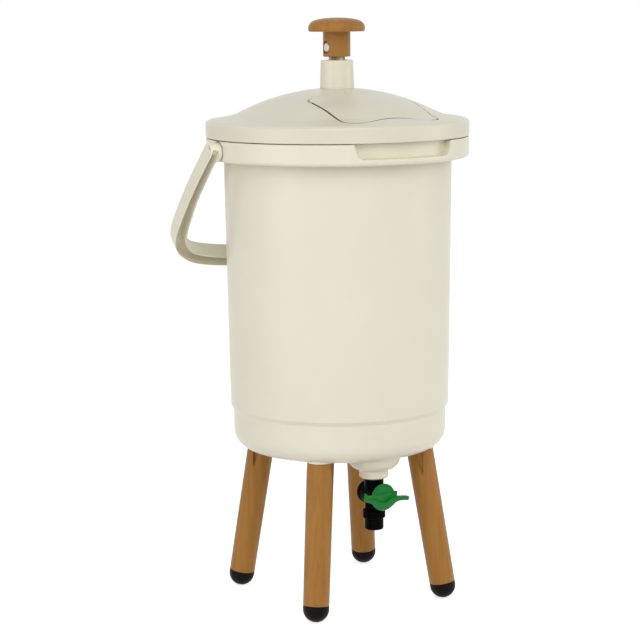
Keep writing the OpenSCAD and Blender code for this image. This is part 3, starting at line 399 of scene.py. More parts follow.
# The bin: one turned skin, outside and inside, with the drain bowl let into its floor. Heights are above the floor
# it stands on, and seat is (y, z)
shell = {"floor": 188.0, "floorInside": 191.5, "baseRadius": 129.5, "baseFillet": 22.0, "bandLow": 212.0,
         "stepLow": 236.0, "stepHigh": 241.0, "lowRadius": 133.0, "highRadius": 137.3, "wall": 3.0, "collarLow": 539.7,
         "collarTop": 564.4, "collarRadius": 157.5, "collarEdge": 4.5, "rim": (144.0, 147.0), "rimTop": 571.4,
         "innerRadii": (134.2, 130.0, 126.5),
         "recessHalf": 65.2, "recessTaper": 3.8, "recessLow": 547.6, "recessCorner": 7.0, "recessRadius": 148.0,
         "recessAngle": 0.388, "seat": (10.5, 551.4), "seatRadius": 13.0, "seatFloor": 152.4, "seatAngle": 1.637,
         "seatBoss": (13.7, 145.5, 152.2), "seatBossClip": (540.3, 563.2), "bowlY": -77.0, "bowlRadius": 32.0,
         "bossRadius": 17.3, "bowlLow": 171.0, "bowlInside": 177.5, "bossLow": 160.6, "boreRadius": 10.55,
         "legCircle": 100.17, "legBoss": (17.1, 187.4, 189.0), "columns": 408}


# How deep (x, z) lies inside the finger recess: a box with slanted sides, rounded lower corners and no top,
# its outline moved out by g; below zero outside
def recessDepth(x, z, g):
    s = shell
    rise = (s["collarTop"] - z) / (s["collarTop"] - s["recessLow"])
    half = s["recessHalf"] + g - s["recessTaper"] * rise
    r = s["recessCorner"] + g
    qx, qz = np.abs(x) - (half - r), (s["recessLow"] - g + r) - z
    return r - np.hypot(np.maximum(qx, 0), np.maximum(qz, 0)) - np.minimum(np.maximum(qx, qz), 0)


# Points in the recess slide straight back along y until they lie on the cylinder of radius back, over a soft edge
def sinkRecess(grid, back, g):
    x, y, z = grid[..., 0], grid[..., 1], grid[..., 2]
    target = -np.sqrt(np.maximum(back ** 2 - x ** 2, 0))
    m = within(recessDepth(x, z, g), 1.2) * (y < 0)
    grid[..., 1] = y + m * np.maximum(target - y, 0)
    return grid


# Seats of the bail's heads: inside a circle around the pivot the skin slides in along x to a flat
def sinkSeats(grid):
    s = shell
    x, y, z = grid[..., 0], grid[..., 1], grid[..., 2]
    m = within(s["seatRadius"] - np.hypot(y - s["seat"][0], z - s["seat"][1]), 0.8)
    grid[..., 0] = x - np.sign(x) * m * np.maximum(np.abs(x) - s["seatFloor"], 0)
    return grid


# Height of the bin's underside at radius r: flat, then the round of the lower edge
def underside(r):
    s = shell
    flat = s["baseRadius"] - s["baseFillet"]
    drop = np.sqrt(np.maximum(s["baseFillet"] ** 2 - np.maximum(r - flat, 0) ** 2, 0))
    return s["floor"] + s["baseFillet"] - drop


# The skin runs up the outside, under and round the collar, over the rim and down the inside
def makeBin():
    s = shell
    w, top, low, rOut = s["wall"], s["collarTop"], s["collarLow"], s["collarRadius"]
    rimIn, rimOut = s["rim"]
    flat, wallTop = s["baseRadius"] - s["baseFillet"], s["highRadius"] - 0.1
    # Columns stand closer at the recess's ends and at the seats
    a = spread(s["columns"] + 1, -np.pi, np.pi, lambda t: 1 + 6 * hump(np.abs(t), s["recessAngle"], 0.033, 0.02)
               + 3.5 * hump(np.abs(t), s["seatAngle"], 0.08, 0.03))[:-1]
    outside = refined(np.concatenate([
        arc((flat, s["floor"] + s["baseFillet"]), s["baseFillet"], -80.84, 0, 14),
        rounded([(s["baseRadius"], s["bandLow"]), (s["baseRadius"], s["stepLow"]), (s["lowRadius"], s["stepHigh"]),
                 (wallTop, top - w), (rOut - w, top - w), (rOut - w, low + 0.3)], [0, 2.5, 3, 2, 1.2, 0], 4)]), 24.0)
    outside = outside[(outside[:, 1] < top - w - 1.6) & (outside[:, 0] < rOut - w - 1)]
    ceiling = np.stack([np.linspace(wallTop + 2.2, rOut - w - 1.3, 9), np.full(9, top - w)], -1)
    skirt = np.stack([np.full(22, rOut - w), np.linspace(top - w - 1.5, low + 0.6, 22)], -1)
    lip = arc((rOut - s["collarEdge"], low + s["collarEdge"]), s["collarEdge"], -70, 0, 8)
    side = np.stack([np.full(33, rOut), np.linspace(low + s["collarEdge"] + 0.5, top - 1, 33)], -1)
    ledge = np.stack([np.linspace(rOut - 2.4, rimOut + 0.6, 6), np.full(6, top)], -1)
    collar = np.concatenate([lip, side, arc((rOut - 1, top - 1), 1, 20, 90, 4), ledge])
    rim = rounded([(rimOut + 0.5, top), (rimOut, top), (rimOut, s["rimTop"]), (rimIn, s["rimTop"]), (rimIn, top),
                   (s["highRadius"] - w, top), (s["highRadius"] - w, top - 6)], [0, 0.4, 0.5, 0.5, 0.4, 1, 0], 3)
    r0, r1, r2 = s["innerRadii"]
    inside = refined(rounded([(r0, top - 8), (r1, s["stepHigh"] + 2), (r2, s["stepLow"] + 1.5), (r2, s["bandLow"])],
                             [0, 3, 2.5, 0], 4), 24.0)
    bottom = arc((flat, s["floor"] + s["baseFillet"]), s["baseFillet"] - w, 0, -75, 12)
    bottom[:, 1] = np.maximum(bottom[:, 1], s["floorInside"])
    skinGrid = np.concatenate([turned(outside, angles=a),
                        sinkRecess(turned(np.concatenate([ceiling, skirt]), angles=a), s["recessRadius"] - w, w),
                        sinkSeats(sinkRecess(turned(collar, angles=a), s["recessRadius"], 0.0)),
                        turned(rim, angles=a), turned(inside, angles=a), turned(bottom, angles=a)])
    # The floor outside and inside: straight lines from the circle around the bowl to the skin's first and last row
    t = np.linspace(0, 1, 9)[:, None, None]
    bowlAt = (0, s["bowlY"])
    edge = turned(np.array([[s["bowlRadius"], s["floor"]]]), centre=bowlAt, angles=a)
    below = edge + (skinGrid[:1] - edge) * t
    below[..., 2] = underside(np.hypot(below[..., 0], below[..., 1]))
    edgeInside = turned(np.array([[s["bowlRadius"] - w, s["floorInside"]]]), centre=bowlAt, angles=a)
    above = skinGrid[-1:] + (edgeInside - skinGrid[-1:]) * t
    # The bowl: a quarter of an ellipse down to the boss, the boss, and its bore back up to the inner ellipse
    u = np.radians(np.linspace(90, 0, 12))[:, None]
    across = (s["bowlRadius"] - s["bossRadius"]) * np.sin(u)
    outer = np.concatenate([s["bossRadius"] + across, s["floor"] - (s["floor"] - s["bowlLow"]) * np.cos(u)], -1)
    inner = np.concatenate([s["bossRadius"] - w + across,
                            s["floorInside"] - (s["floorInside"] - s["bowlInside"]) * np.cos(u)], -1)[::-1]
    boss = rounded([outer[-1], (s["bossRadius"], s["bossLow"]), (s["boreRadius"], s["bossLow"]),
                    (s["boreRadius"], s["bowlLow"] + 3), (s["bossRadius"] - w, s["bowlInside"])],
                   [0, 2.5, 0.5, 0, 0], 5)
    bowl = turned(np.concatenate([outer[:-1], boss, inner[1:]]), centre=bowlAt, angles=a)
    bowl[0] = below[0]
    parts = [part(skinGrid), part(below), part(above), part(bowl)]
    # A short boss for each leg, closed a little above the bin's underside
    for angle in np.radians((45, 135, 225, 315)):
        at = s["legCircle"] * math.sin(angle), s["legCircle"] * math.cos(angle)
        bossGrid = turned(drum(*s["legBoss"], 1.0, 0, 4), 96, at)
        bossGrid[-2:, :, 2] = underside(np.hypot(bossGrid[-2:, :, 0], bossGrid[-2:, :, 1])) + 1.2
        parts.append(part(bossGrid))
    # A boss behind each seat of the bail
    for mirror in (-1, 1):
        bossGrid = alongX(turned(drum(*s["seatBoss"], 0.6, 0, 3), 64), *s["seat"])
        bossGrid[..., 2] = np.clip(bossGrid[..., 2], *s["seatBossClip"])
        parts.append(part(bossGrid * [mirror, 1, 1]))
    return piece("binShell", parts, "bin", cream, ["bin_body"], sharp=42)


makeBin()
print("bin made")

# The lid's skin: the dome's sphere, a blend and the sloping land, with the flat seat of the guide tube
dome = {"radius": 258.0, "centre": 364.375, "edge": 29.1065, "slope": 8.6, "corner": (125.5, 589.794), "blend": 10.0,
        "landEnd": (151.481, 585.865), "seat": (20.8, 621.535), "pad": (24.3, 617.535)}


# The skin's line (r, z) moved out by o along its normal: an arc, then a parabola between two tangents, then a line
def skinLine(o):
    d = dome
    e, s = math.radians(d["edge"]), math.radians(d["slope"])
    a = np.linspace(0, e * 22 / 24, 90)
    sphere = np.stack([(d["radius"] + o) * np.sin(a), d["centre"] + (d["radius"] + o) * np.cos(a)], -1)
    mitre = np.array([math.sin(e) + math.sin(s), math.cos(e) + math.cos(s)]) / (1 + math.cos(e - s))
    corner = np.array(d["corner"]) + o * mitre
    t = np.linspace(0, 1, 25)[:, None]
    bend = (corner + d["blend"] * t ** 2 * [math.cos(s), -math.sin(s)]
            - d["blend"] * (1 - t) ** 2 * [math.cos(e), -math.sin(e)])
    end = np.array(d["landEnd"]) + o * np.array([math.sin(s), math.cos(s)])
    return np.concatenate([sphere, bend, end[None]])


# Skin height above plan points, moved out by o
def skin(x, y, o=0.0):
    line = skinLine(o)
    return np.interp(np.hypot(x, y), line[:, 0], line[:, 1])


# The feed flap's plan: its sides draw in towards the front, its front edge is hollow, its corners are rounded
flap = {"half": 66.1, "taper": 4.0, "front": 137.7, "sag": 15.4, "rear": 39.3, "corner": 24.0, "rearCorner": 9.0,
        "proud": 0.15, "thick": 3.0, "gap": 2.0, "rearGap": 2.0, "hinge": (-42.0, 617.334),
        "barrel": (1.1, 2.3, -6.5, 6.5), "middle": (0.0, -88.0),
        "notch": ((16.4, -39.3), (16.2, -39.8), (14.4, -44.2), (13.9, -44.75), (10.3, -44.75), (6.9, -44.75),
                  (6.4, -44.3), (6.1, -39.9), (5.7, -39.3), (2.9, -39.3), (0, -39.3))}


# Right half of the plan from the middle of the front edge to the middle of the rear edge, moved out by g, and by h
# at the rear
def flapHalf(g, h):
    f = flap
    side = lambda y: f["half"] + g + f["taper"] * (y + f["rear"]) / (f["front"] - f["rear"])
    edge = lambda x: f["sag"] * (1 - (x / (f["half"] - f["taper"])) ** 2) - f["front"] - g
    r = f["corner"] + g
    y0, x3 = r - f["front"] - g, side(-f["front"]) - r
    slope = -2 * f["sag"] * x3 / (f["half"] - f["taper"]) ** 2
    p0, p3 = np.array([side(y0), y0]), np.array([x3, edge(x3)])
    p1 = p0 - 0.55 * r * np.array([f["taper"] / (f["front"] - f["rear"]), 1])
    p2 = p3 + 0.55 * r * np.array([1, slope]) / math.hypot(1, slope)
    t = np.linspace(0, 1, 25)[:, None]
    bend = (1 - t) ** 3 * p3 + 3 * (1 - t) ** 2 * t * p2 + 3 * (1 - t) * t * t * p1 + t ** 3 * p0
    x = np.linspace(0, x3, 16)[:-1]
    rc = f["rearCorner"]
    rearY = h - f["rear"] - rc
    y = np.linspace(y0, rearY, 14)[1:-1]
    back = arc((side(rearY) - rc, rearY), rc, 0, 90, 40)
    xb = np.linspace(back[-1, 0], 0, 20)[1:]
    return np.concatenate([np.stack([x, edge(x)], -1), bend, np.stack([side(y), y], -1), back,
                           np.stack([xb, np.full(19, back[-1, 1])], -1)])


# The flap's plan as seen from the axis: where a ray at an angle from the front crosses it, near and far
class Branches:
    def __init__(self, g, h):
        p = flapHalf(g, h)
        a, r = np.arctan2(p[:, 0], -p[:, 1]), np.hypot(p[:, 0], p[:, 1])
        k = int(a.argmax())
        self.widest = a[k]
        self.farA, self.farR, self.nearA, self.nearR = a[:k + 1], r[:k + 1], a[k:][::-1], r[k:][::-1]

    # Column angles: crossing rays closer together towards the two tangent rays, then the rest of the circle
    def angles(self, crossing, others):
        u = np.sin(np.linspace(-1, 1, crossing + 1) * np.pi / 2)
        return np.concatenate([self.widest * u, np.linspace(self.widest, 2 * np.pi - self.widest, others + 1)[1:-1]])

    def fromFront(self, a):
        return np.minimum(np.abs(np.where(a > np.pi, a - 2 * np.pi, a)), self.widest)

    def far(self, a):
        return np.interp(self.fromFront(a), self.farA, self.farR)

    def near(self, a):
        return np.interp(self.fromFront(a), self.nearA, self.nearR)


# The lid: its upper skin runs over the shoulder to the upright side and back inside; circle is the radius where rays
# give way to the turned side, edge and bevel are arcs (r, z, radius), turn is where they meet, in degrees
lidForm = {"radius": 157.8, "low": 565.4, "inside": (155.0, 581.0), "wall": 2.8, "circle": 148.5,
           "edge": (155.3, 581.5, 2.5), "bevel": (149.836, 574.989, 11.0), "turn": 50.0, "innerTurn": 50.97,
           "hole": 13.85, "ledge": (5.2, 7.6), "ledgeWidth": 2.6, "opening": -6.0, "crossing": 240, "others": 190,
           "channels": ((140.8, 143.0, 584.5), (148.0, 150.2, 583.0)), "channelLow": 565.9,
           "web": (142.0, 149.0, 575.4, 577.6), "ears": (6.85, 13.85), "earBarrel": (1.06, 2.3),
           "earFoot": (-0.8, -6.4)}


# Points at distance r from the axis, angle a from the front and height z
def polarGrid(r, a, z):
    return np.stack([r * np.sin(a), -r * np.cos(a), z + 0 * r * a], -1)


def makeLid():
    f = lidForm
    crossing, others, wide = f["crossing"], f["others"], f["ledgeWidth"]
    gap, rearGap = flap["gap"], flap["rearGap"]
    upper, lower = Branches(gap + 0.5, rearGap + 0.5), Branches(gap + wide, rearGap + wide)
    aTop, aLow = upper.angles(crossing, others), lower.angles(crossing, others)
    seatRadius, seat = dome["seat"]
    padRadius, pad = dome["pad"]

    # Rays from the hole to the flap's near side, or from its far side to the circle, on the skin moved out by o
    def zone(branch, a, inwards, rows, o):
        t = np.linspace(0, 1, rows)[:, None]
        if inwards:
            r = f["hole"] + (branch.near(a) - f["hole"]) * t
        else:
            r = branch.far(a) + (f["circle"] - branch.far(a)) * t
        z = skin(r * np.sin(a), r * np.cos(a), o)
        z = np.minimum(z, np.where(r < seatRadius, seat, np.inf)) if o == 0 else np.where(r < padRadius, pad, z)
        return part(polarGrid(r, a + 0 * r, z))

    # From the circle over the shoulder and the upright side to its edge, and back inside
    ex, ez, er = f["edge"]
    bx, bz, br = f["bevel"]
    ix, iz = f["inside"]
    ends = [[[f["circle"], skin(f["circle"], 0, o)]] for o in (0, -f["wall"])]
    side = refined(np.concatenate([
        ends[0], arc((bx, bz), br, 90 - dome["slope"], f["turn"], 7), arc((ex, ez), er, f["turn"] - 8, 0, 7),
        rounded([(f["radius"], ez - 1), (f["radius"], f["low"]), (ix, f["low"]), (ix, iz)], [0, 1.0, 0.5, 0], 5),
        arc((bx, bz), br - f["wall"], f["innerTurn"], 84 - dome["slope"], 6), ends[1]]), 2.4)
    aSide = aTop + (aLow - aTop) * smooth(np.linspace(0, 1, len(side)))[:, None]
    # The hole for the tube's spigot, between the two skins
    t = np.linspace(0, 1, 3)[:, None]
    parts = [zone(upper, aTop, True, 14, 0), zone(upper, aTop, False, 30, 0),
             part(polarGrid(side[:, :1] + 0 * aSide, aSide, side[:, 1:])), zone(lower, aLow, False, 16, -f["wall"]),
             zone(lower, aLow, True, 9, -f["wall"]),
             part(polarGrid(f["hole"] + 0 * aTop * t, aTop + (aLow - aTop) * t, seat + (pad - seat) * t))]

    # A ring of points on the plan moved out by g, and by h at the rear, at a depth under the skin
    def ring(g, h, depth):
        b = Branches(g, h)
        a = b.angles(crossing, others)[:crossing + 1]
        r = np.concatenate([b.near(a), b.far(a)[::-1][1:-1]])
        a = np.concatenate([a, a[::-1][1:-1]])
        x, y = r * np.sin(a), -r * np.cos(a)
        return np.stack([x, y, skin(x, y, -depth)], -1)

    # Down the seam's wall, over the ledge to its opening, and back under it to the lid's inner skin
    o, (top, low) = f["opening"], f["ledge"]
    steps = [(gap + 0.5, rearGap + 0.5, 0), (gap + 0.12, rearGap + 0.12, 0.08), (gap, rearGap, 0.35),
             (gap, rearGap, 2.5), (gap, rearGap, top), (-3, -3, top), (o + 0.3, o + 0.3, top), (o, o, top + 0.3),
             (o, o, low - 0.3), (o + 0.4, o + 0.4, low), (-1, -1, low), (gap + wide, rearGap + wide, low),
             (gap + wide, rearGap + wide, 5.0), (gap + wide, rearGap + wide, f["wall"])]
    parts.append(part(np.stack([ring(*step) for step in steps])))
    # Two rings that hold the seal, and the web above it
    low = f["channelLow"]
    for r0, r1, top in f["channels"]:
        line = [[r0, top], [r0, low + 0.4], [r0 + 0.4, low], [r1 - 0.4, low], [r1, low + 0.4], [r1, top]]
        parts.append(part(turned(np.array(line), 220), closeRows=True))
    r0, r1, z0, z1 = f["web"]
    parts.append(part(turned(np.array([[r0, z0], [r1, z0], [r1, z1], [r0, z1]]), 220), closeRows=True))
    # Two hinge ears that stand on the ledge, each a barrel on a foot
    hy, hz = flap["hinge"]
    z1, z0 = f["earFoot"]
    foot = np.array([(-2.2, z1), (-2.2, z0), (2.2, z0), (2.2, z1), (1.2, z1 - 0.4), (-1.2, z1 - 0.4)]) + [hy, hz]
    for mirror in (-1, 1):
        x0, x1 = sorted(mirror * x for x in f["ears"])
        parts.append(part(alongX(turned(sleeve(*f["earBarrel"], x0, x1), 40), hy, hz)))
        footGrid = np.stack([np.concatenate([np.full((6, 1), x), foot], 1) for x in (x0 + 0.1, x1 - 0.1)])
        ends = [cap(footGrid[i], (x, hy, hz - 4)) for i, x in ((0, x0 + 0.1), (1, x1 - 0.1))]
        parts.append(part(np.concatenate([ends[0], footGrid, ends[1]])))
    return piece("lidShell", parts, "lid", lidShadedCream, ["lid"], sharp=40)


makeLid()
print("lid made")


# The flap: a shallow shell that follows the dome, its edges rounded, notched at the rear beside the hinge knuckle
def makeFlap():
    f = flap
    half = flapHalf(0, 0)
    body = half[(half[:, 1] <= -f["rear"] - 0.01) | (half[:, 0] >= 17.4)]
    right = np.concatenate([body, f["notch"]])
    loop = np.concatenate([right, right[1:-1][::-1] * [-1, 1]])

    # The loop drawn in by g and then towards the flap's middle by shares, on the skin moved out by o
    def level(g, o, shares=np.ones(1)):
        q = f["middle"] + (inset(loop, g) - f["middle"]) * shares[:, None, None]
        return np.stack([q[..., 0], q[..., 1], skin(q[..., 0], q[..., 1], o)], -1)

    up, down = f["proud"], f["proud"] - f["thick"]
    shares = np.linspace(1, 0, 26)
    rows = [level(0.7, down, shares[::-1]), level(0.4, down + 0.12), level(0.3, down + 0.4), level(0.3, up - 0.5),
            level(0.45, up - 0.15), level(0.8, up - 0.02), level(1.2, up, shares)]
    parts = [part(np.concatenate(rows)), part(alongX(turned(sleeve(*f["barrel"]), 40), *f["hinge"]))]
    return piece("feedFlapShell", parts, "flap", lidShadedCream, ["feed_flap"], sharp=45)


makeFlap()
print("flap made")

# Smooth curve through the points of a table, n samples: between two points, the cubic of the four nearest ones
def through(table, n):
    p = np.asarray(table, float)
    t = np.linspace(0, len(p) - 1, n)
    i = np.minimum(t.astype(int), len(p) - 2)
    f = (t - i)[:, None]
    a, b, c, d = p[np.maximum(i - 1, 0)], p[i], p[i + 1], p[np.minimum(i + 2, len(p) - 1)]
    return b + 0.5 * f * (c - a + f * (2 * a - 5 * b + 4 * c - d + f * (3 * (b - c) + d - a)))


# The flap's gasket: a flat band under the flap with a dark lip that stands up in the seam, partly the real gasket and
# partly painted shade for the seam's shadow; it stays low at the hinge
gasket = {"lip": 1.7, "inner": -5.0, "low": 5.0, "high": 2.9, "lipTop": 0.55, "raise": 0.4, "rear": -7.1}


def makeGasket():
    k = gasket
    levels = [(k["inner"], k["low"]), (k["lip"], k["low"]), (k["lip"], k["lipTop"] + 0.1),
              (k["lip"] - 0.3, k["lipTop"]), (0.0, k["lipTop"]), (-0.2, k["lipTop"] + 0.25), (-0.2, k["high"]),
              (k["inner"], k["high"])]
    rings = []
    for g, depth in levels:
        half = flapHalf(g, k["rear"] + min(g, 0))
        x, y = np.concatenate([half, half[1:-1][::-1] * [-1, 1]]).T
        # The dark lip stands highest along the left side and at the two front corners, as painted shade where the
        # seam's shadow is deepest, and stays low at the hinge and on the right side
        if depth < k["high"]:
            seamShadeTall = np.maximum(smooth((-36 - x) / 12), smooth((x - 44) / 6))
            stand = smooth((-42 - y) / 5) * (1 - smooth((x - 40) / 10) * smooth((y + 121) / 6))
            depth = k["high"] + (depth - k["raise"] * seamShadeTall - k["high"]) * stand
        rings.append(np.stack([x, y, skin(x, y) - depth], -1))
    return piece("flapSealAndSeamShade", [part(np.stack(rings), closeRows=True)], "flap", sealRubber,
                 ["flap_gasket"])


makeGasket()

# The guide tube: a tapered collar with a bore and a spigot through the lid
tube = {"bore": 10.85, "spigot": 13.75, "low": 607.5, "seat": 621.535, "base": 20.4, "top": 19.3, "high": 655.135}


# One closed line turned about the axis
def makeTube():
    t = tube
    bore, spigot, low, seat, high = t["bore"], t["spigot"], t["low"], t["seat"], t["high"]
    line = rounded([(bore, low + 2), (bore, low), (spigot, low), (spigot, seat), (t["base"], seat), (t["top"], high),
                    (bore, high), (bore, low + 2)], [0, 0.3, 0.5, 0.1, 0.35, 1.5, 0.8, 0], 6)
    return piece("guideCollar", [part(turned(refined(line, 6), 160))], "lid", lidShadedCream,
                 ["guide_tube"])


makeTube()
print("gasket and guide tube made")

# The knob: mushroom cap and stem in one turned skin; a cross hole is pushed into the stem on both sides
knob = {"stem": 16.3, "low": 659.135, "capLow": 688.735, "capRadius": 33.9, "capHeight": 16.3,
        "groove": (18.8, 30.5, 4.0), "bore": 10.7, "boreTop": 680.1, "holeZ": 670.135, "holeRadius": 7.4,
        "holeFloor": 12.8, "pin": (5.25, -15.3, 15.3),
        "outline": ((0.9, 0.0), (0.2, 0.13), (0, 0.26), (0.4, 0.4), (1.5, 0.54), (3.1, 0.66), (5.3, 0.755),
                    (8.4, 0.83), (12.1, 0.89), (16.2, 0.932), (21.9, 0.97), (27.9, 0.993), (33.89, 1.0))}


# Cap outline: how far in from the cap's radius, and the share of its height
def makeKnob():
    k = knob
    rStem, low, capLow = k["stem"], k["low"], k["capLow"]
    r0, r1, deep = k["groove"]
    crown = through([(k["capRadius"] - p, capLow + k["capHeight"] * q) for p, q in k["outline"]], 60)
    line = np.concatenate([
        rounded([(0.01, k["boreTop"]), (k["bore"], k["boreTop"]), (k["bore"], low), (rStem, low), (rStem, low + 1.6)],
                [0, 0.5, 0.5, 0.8, 0], 4),
        np.stack([np.full(52, rStem), np.linspace(low + 1.9, capLow - 7.6, 52)], -1),
        rounded([(rStem, capLow - 7.2), (rStem, capLow), (r0, capLow), (r0, capLow + deep), (r1, capLow + deep),
                 (r1, capLow), (crown[0, 0] - 0.01, capLow)], [0, 1.2, 0.3, 0.4, 0.4, 0.3, 0], 4), crown])
    grid = turned(line, 288)
    x, y, z = grid[..., 0], grid[..., 1], grid[..., 2]
    inside = within(k["holeRadius"] - np.hypot(y, z - k["holeZ"]), 0.4) * (np.hypot(x, y) > rStem - 0.5)
    grid[..., 0] = x - np.sign(x) * inside * np.maximum(np.abs(x) - k["holeFloor"], 0)
    piece("pushKnob", [part(grid)], "press", wood, ["push_knob"], sharp=32)
    pin = turned(drum(*k["pin"], 1.4, 1.4, 6), 64)
    piece("knobPin", [part(alongX(pin, 0, k["holeZ"]))], "press", nylon, ["knob_cross_pin"])


makeKnob()

# The bail, drawn in its own leaning plane: s down the arm from the plane's origin, m across the arm, x outwards.
# Its outer and inner lines are tables of (x, s) for one side; the channel opens on the front, m below zero
bail = {"origin": (15.885, 551.4), "lean": 43.6, "half": 9.6, "head": (-3.9, -3.714), "headRadius": 11.3,
        "outer": ((169.3, -4), (169.4, 8), (169.9, 26), (170.4, 46), (170.3, 68), (169.9, 88), (169.0, 108),
                  (167.7, 126), (166.0, 140), (163.2, 151), (159.8, 160), (154.4, 168.6), (147.6, 175.6),
                  (139.0, 182.6), (129.2, 188.7), (118.6, 193.0), (104, 196.8), (84, 200.4), (58, 203.7), (30, 205.9),
                  (0, 206.6)),
        "inner": ((158.2, -4), (158.2, 8), (158.3, 26), (158.3, 46), (158.2, 68), (157.3, 86), (155.4, 103),
                  (153.7, 120), (151.6, 134), (149.2, 144), (145.4, 152.6), (140.0, 160.4), (133.8, 166.6),
                  (126.4, 171.6), (118.0, 175.0), (109.0, 177.4), (96, 180.3), (78, 183.2), (54, 185.8), (28, 187.6),
                  (0, 188.2)),
        "lip": 0.8, "innerLip": (2.2, 3.4), "depth": 16.0, "wider": 1.9, "stub": 5.0, "snap": (6.3, 142.5, 145.2),
        "disc": (154.85, 156.4, 157.4, 159.9), "undercut": 2.6, "edges": (1.6, 0.9, 1.2)}


# Rows run from one head over the handle to the other; each is a loop round the section that starts at the back edge
def makeBail():
    b = bail
    lean = math.radians(b["lean"])
    n0, n1, n2 = 26, 30, 230   # rows round a head, down its straight edges, and along the tables
    hm, hs = b["head"]
    rHead, wide = b["headRadius"], b["half"]
    rows = through(np.concatenate([b["outer"], b["inner"]], 1), n2)
    # Head rows: round at the top, on the outside a circle as wide as the arm, on the inside the larger head, which
    # eases into the arm's straight edges
    a = np.radians(np.linspace(2, 90, n0))
    sArm = np.linspace(hs, 30, n1 + 1)[1:]
    ease = np.exp(-((sArm - hs) / 8.0) ** 2)
    frontOut = np.concatenate([np.stack([-wide * np.sin(a), hs - wide * np.cos(a)], -1),
                               np.stack([np.full(n1, -wide), sArm], -1)])
    frontIn = np.concatenate([np.stack([hm - rHead * np.sin(a), hs - rHead * np.cos(a)], -1),
                              np.stack([-wide - (rHead - hm - wide) * ease, sArm], -1)])
    backOut = frontOut * [-1, 1]
    backIn = np.concatenate([np.stack([hm + rHead * np.sin(a), hs - rHead * np.cos(a)], -1),
                             np.stack([wide - (wide - hm - rHead) * ease, sArm], -1)])
    body = rows[rows[:, 1] > 31]
    head, count = len(frontOut), len(frontOut) + len(body)
    level = frontOut[:, 1]
    outer, inner = [np.concatenate([np.stack([np.interp(level, rows[:60, 1], rows[:60, i]), 0 * level], -1),
                                    body[:, i:i + 2]]) for i in (0, 2)]

    # A front or back edge over all rows: outside and inside line, and the inward direction of the outside line
    def edgeLines(out, ins, side):
        flat = np.tile([side * wide, 0.0], (len(body), 1))
        flat[:, 0] -= b["wider"] * smooth((body[:, 1] - 140) / 40) * (side < 0)
        d = np.gradient(out, axis=0)
        d /= np.linalg.norm(d, axis=1)[:, None]
        n = np.concatenate([np.stack([d[:, 1], -d[:, 0]], -1) * -side, np.tile([-1.0 * side, 0.0], (len(body), 1))])
        return np.concatenate([out, flat]), np.concatenate([ins, flat]), n

    frontEdge, backEdge = edgeLines(frontOut, frontIn, -1), edgeLines(backOut, backIn, 1)
    away = inner - outer
    thick = np.hypot(away[:, 0], away[:, 1])
    thick[:head] = outer[:head, 0] - inner[:head, 0]
    along = np.concatenate([np.tile([-1.0, 0.0], (head, 1)), away[head:] / thick[head:, None]])
    low = np.concatenate([level, body[:, 1]])
    # The channel opens below the head and deepens down the arm; the front edges are rounder at the head
    openness = smooth((low + 11.6) / 0.8)
    depth = (b["depth"] - 8.0 * (1 - smooth((low + 4) / 16))) * openness
    lip = b["innerLip"][0] + (b["innerLip"][1] - b["innerLip"][0]) * smooth((low - 120) / 50)
    round1 = (1.4 + 2.6 * (1 - smooth((low + 10) / 4))) * (1 - 0.65 * openness)

    # From the plane's s, m and x to the bin's: leaned back about the plane's origin
    def leaned(s, m, x):
        return np.stack([x, b["origin"][0] + m * math.cos(lean) + s * math.sin(lean),
                         b["origin"][1] + m * math.sin(lean) - s * math.cos(lean)], -1)

    # u along the thickness from the outer line, q inwards from the front or back outline
    def at3(u, q, lines):
        u, q = np.broadcast_to(u, (count,)), np.broadcast_to(q, (count,))
        base, n = lines[0] + (lines[1] - lines[0]) * (u / thick)[:, None], lines[2]
        return leaned(outer[:, 1] + base[:, 1] + q * n[:, 1] + u * along[:, 1], base[:, 0] + q * n[:, 0],
                      -(outer[:, 0] + u * along[:, 0]))

    # Five points between two
    def between(p, q):
        return [p + (q - p) * k / 6 for k in range(1, 6)]

    arcs = np.radians(np.linspace(0, 90, 6))
    e0, e1, e2 = b["edges"]
    loop = [at3(e0 * (1 - math.cos(t)), e0 * (1 - math.sin(t)), backEdge) for t in arcs[::-1]]
    loop += between(loop[-1], at3(0, round1, frontEdge))
    loop += [at3(round1 * (1 - math.cos(t)), round1 * (1 - math.sin(t)), frontEdge) for t in arcs]
    g0, g1 = np.maximum(b["lip"], round1), thick - lip
    loop += [at3(g0, 0, frontEdge), at3(g0 + 0.15, np.minimum(depth, 0.3), frontEdge)]
    loop += [at3(g0 + 0.2, depth * k, frontEdge) for k in (0.3, 0.6, 0.8)]
    loop += [at3(g0 + 0.2 + (g1 - g0 - 0.15) * (0.5 - 0.5 * math.cos(t)), depth * (0.8 + 0.2 * math.sin(t)), frontEdge)
             for t in np.radians(np.linspace(15, 165, 9))]
    loop += [at3(g1, depth * k, frontEdge) for k in (0.8, 0.6, 0.3, 0.12)]
    loop += [at3(g1 + 0.25, np.minimum(depth, 0.25), frontEdge), at3(g1 + 0.7, 0, frontEdge)]
    loop += [at3(thick - e1 * (1 - math.sin(t)), e1 * (1 - math.cos(t)), frontEdge) for t in arcs]
    loop += between(loop[-1], at3(thick, e2, backEdge))
    loop += [at3(thick - e2 * (1 - math.cos(t)), e2 * (1 - math.sin(t)), backEdge) for t in arcs]
    one = np.stack(loop, 1)
    whole = np.concatenate([one, (one[:-1] * [-1, 1, 1])[::-1]])
    # Each head's first row is closed across
    parts = [part(whole)] + [part(cap(end, end.mean(0), True)) for end in (whole[0], whole[-1])]
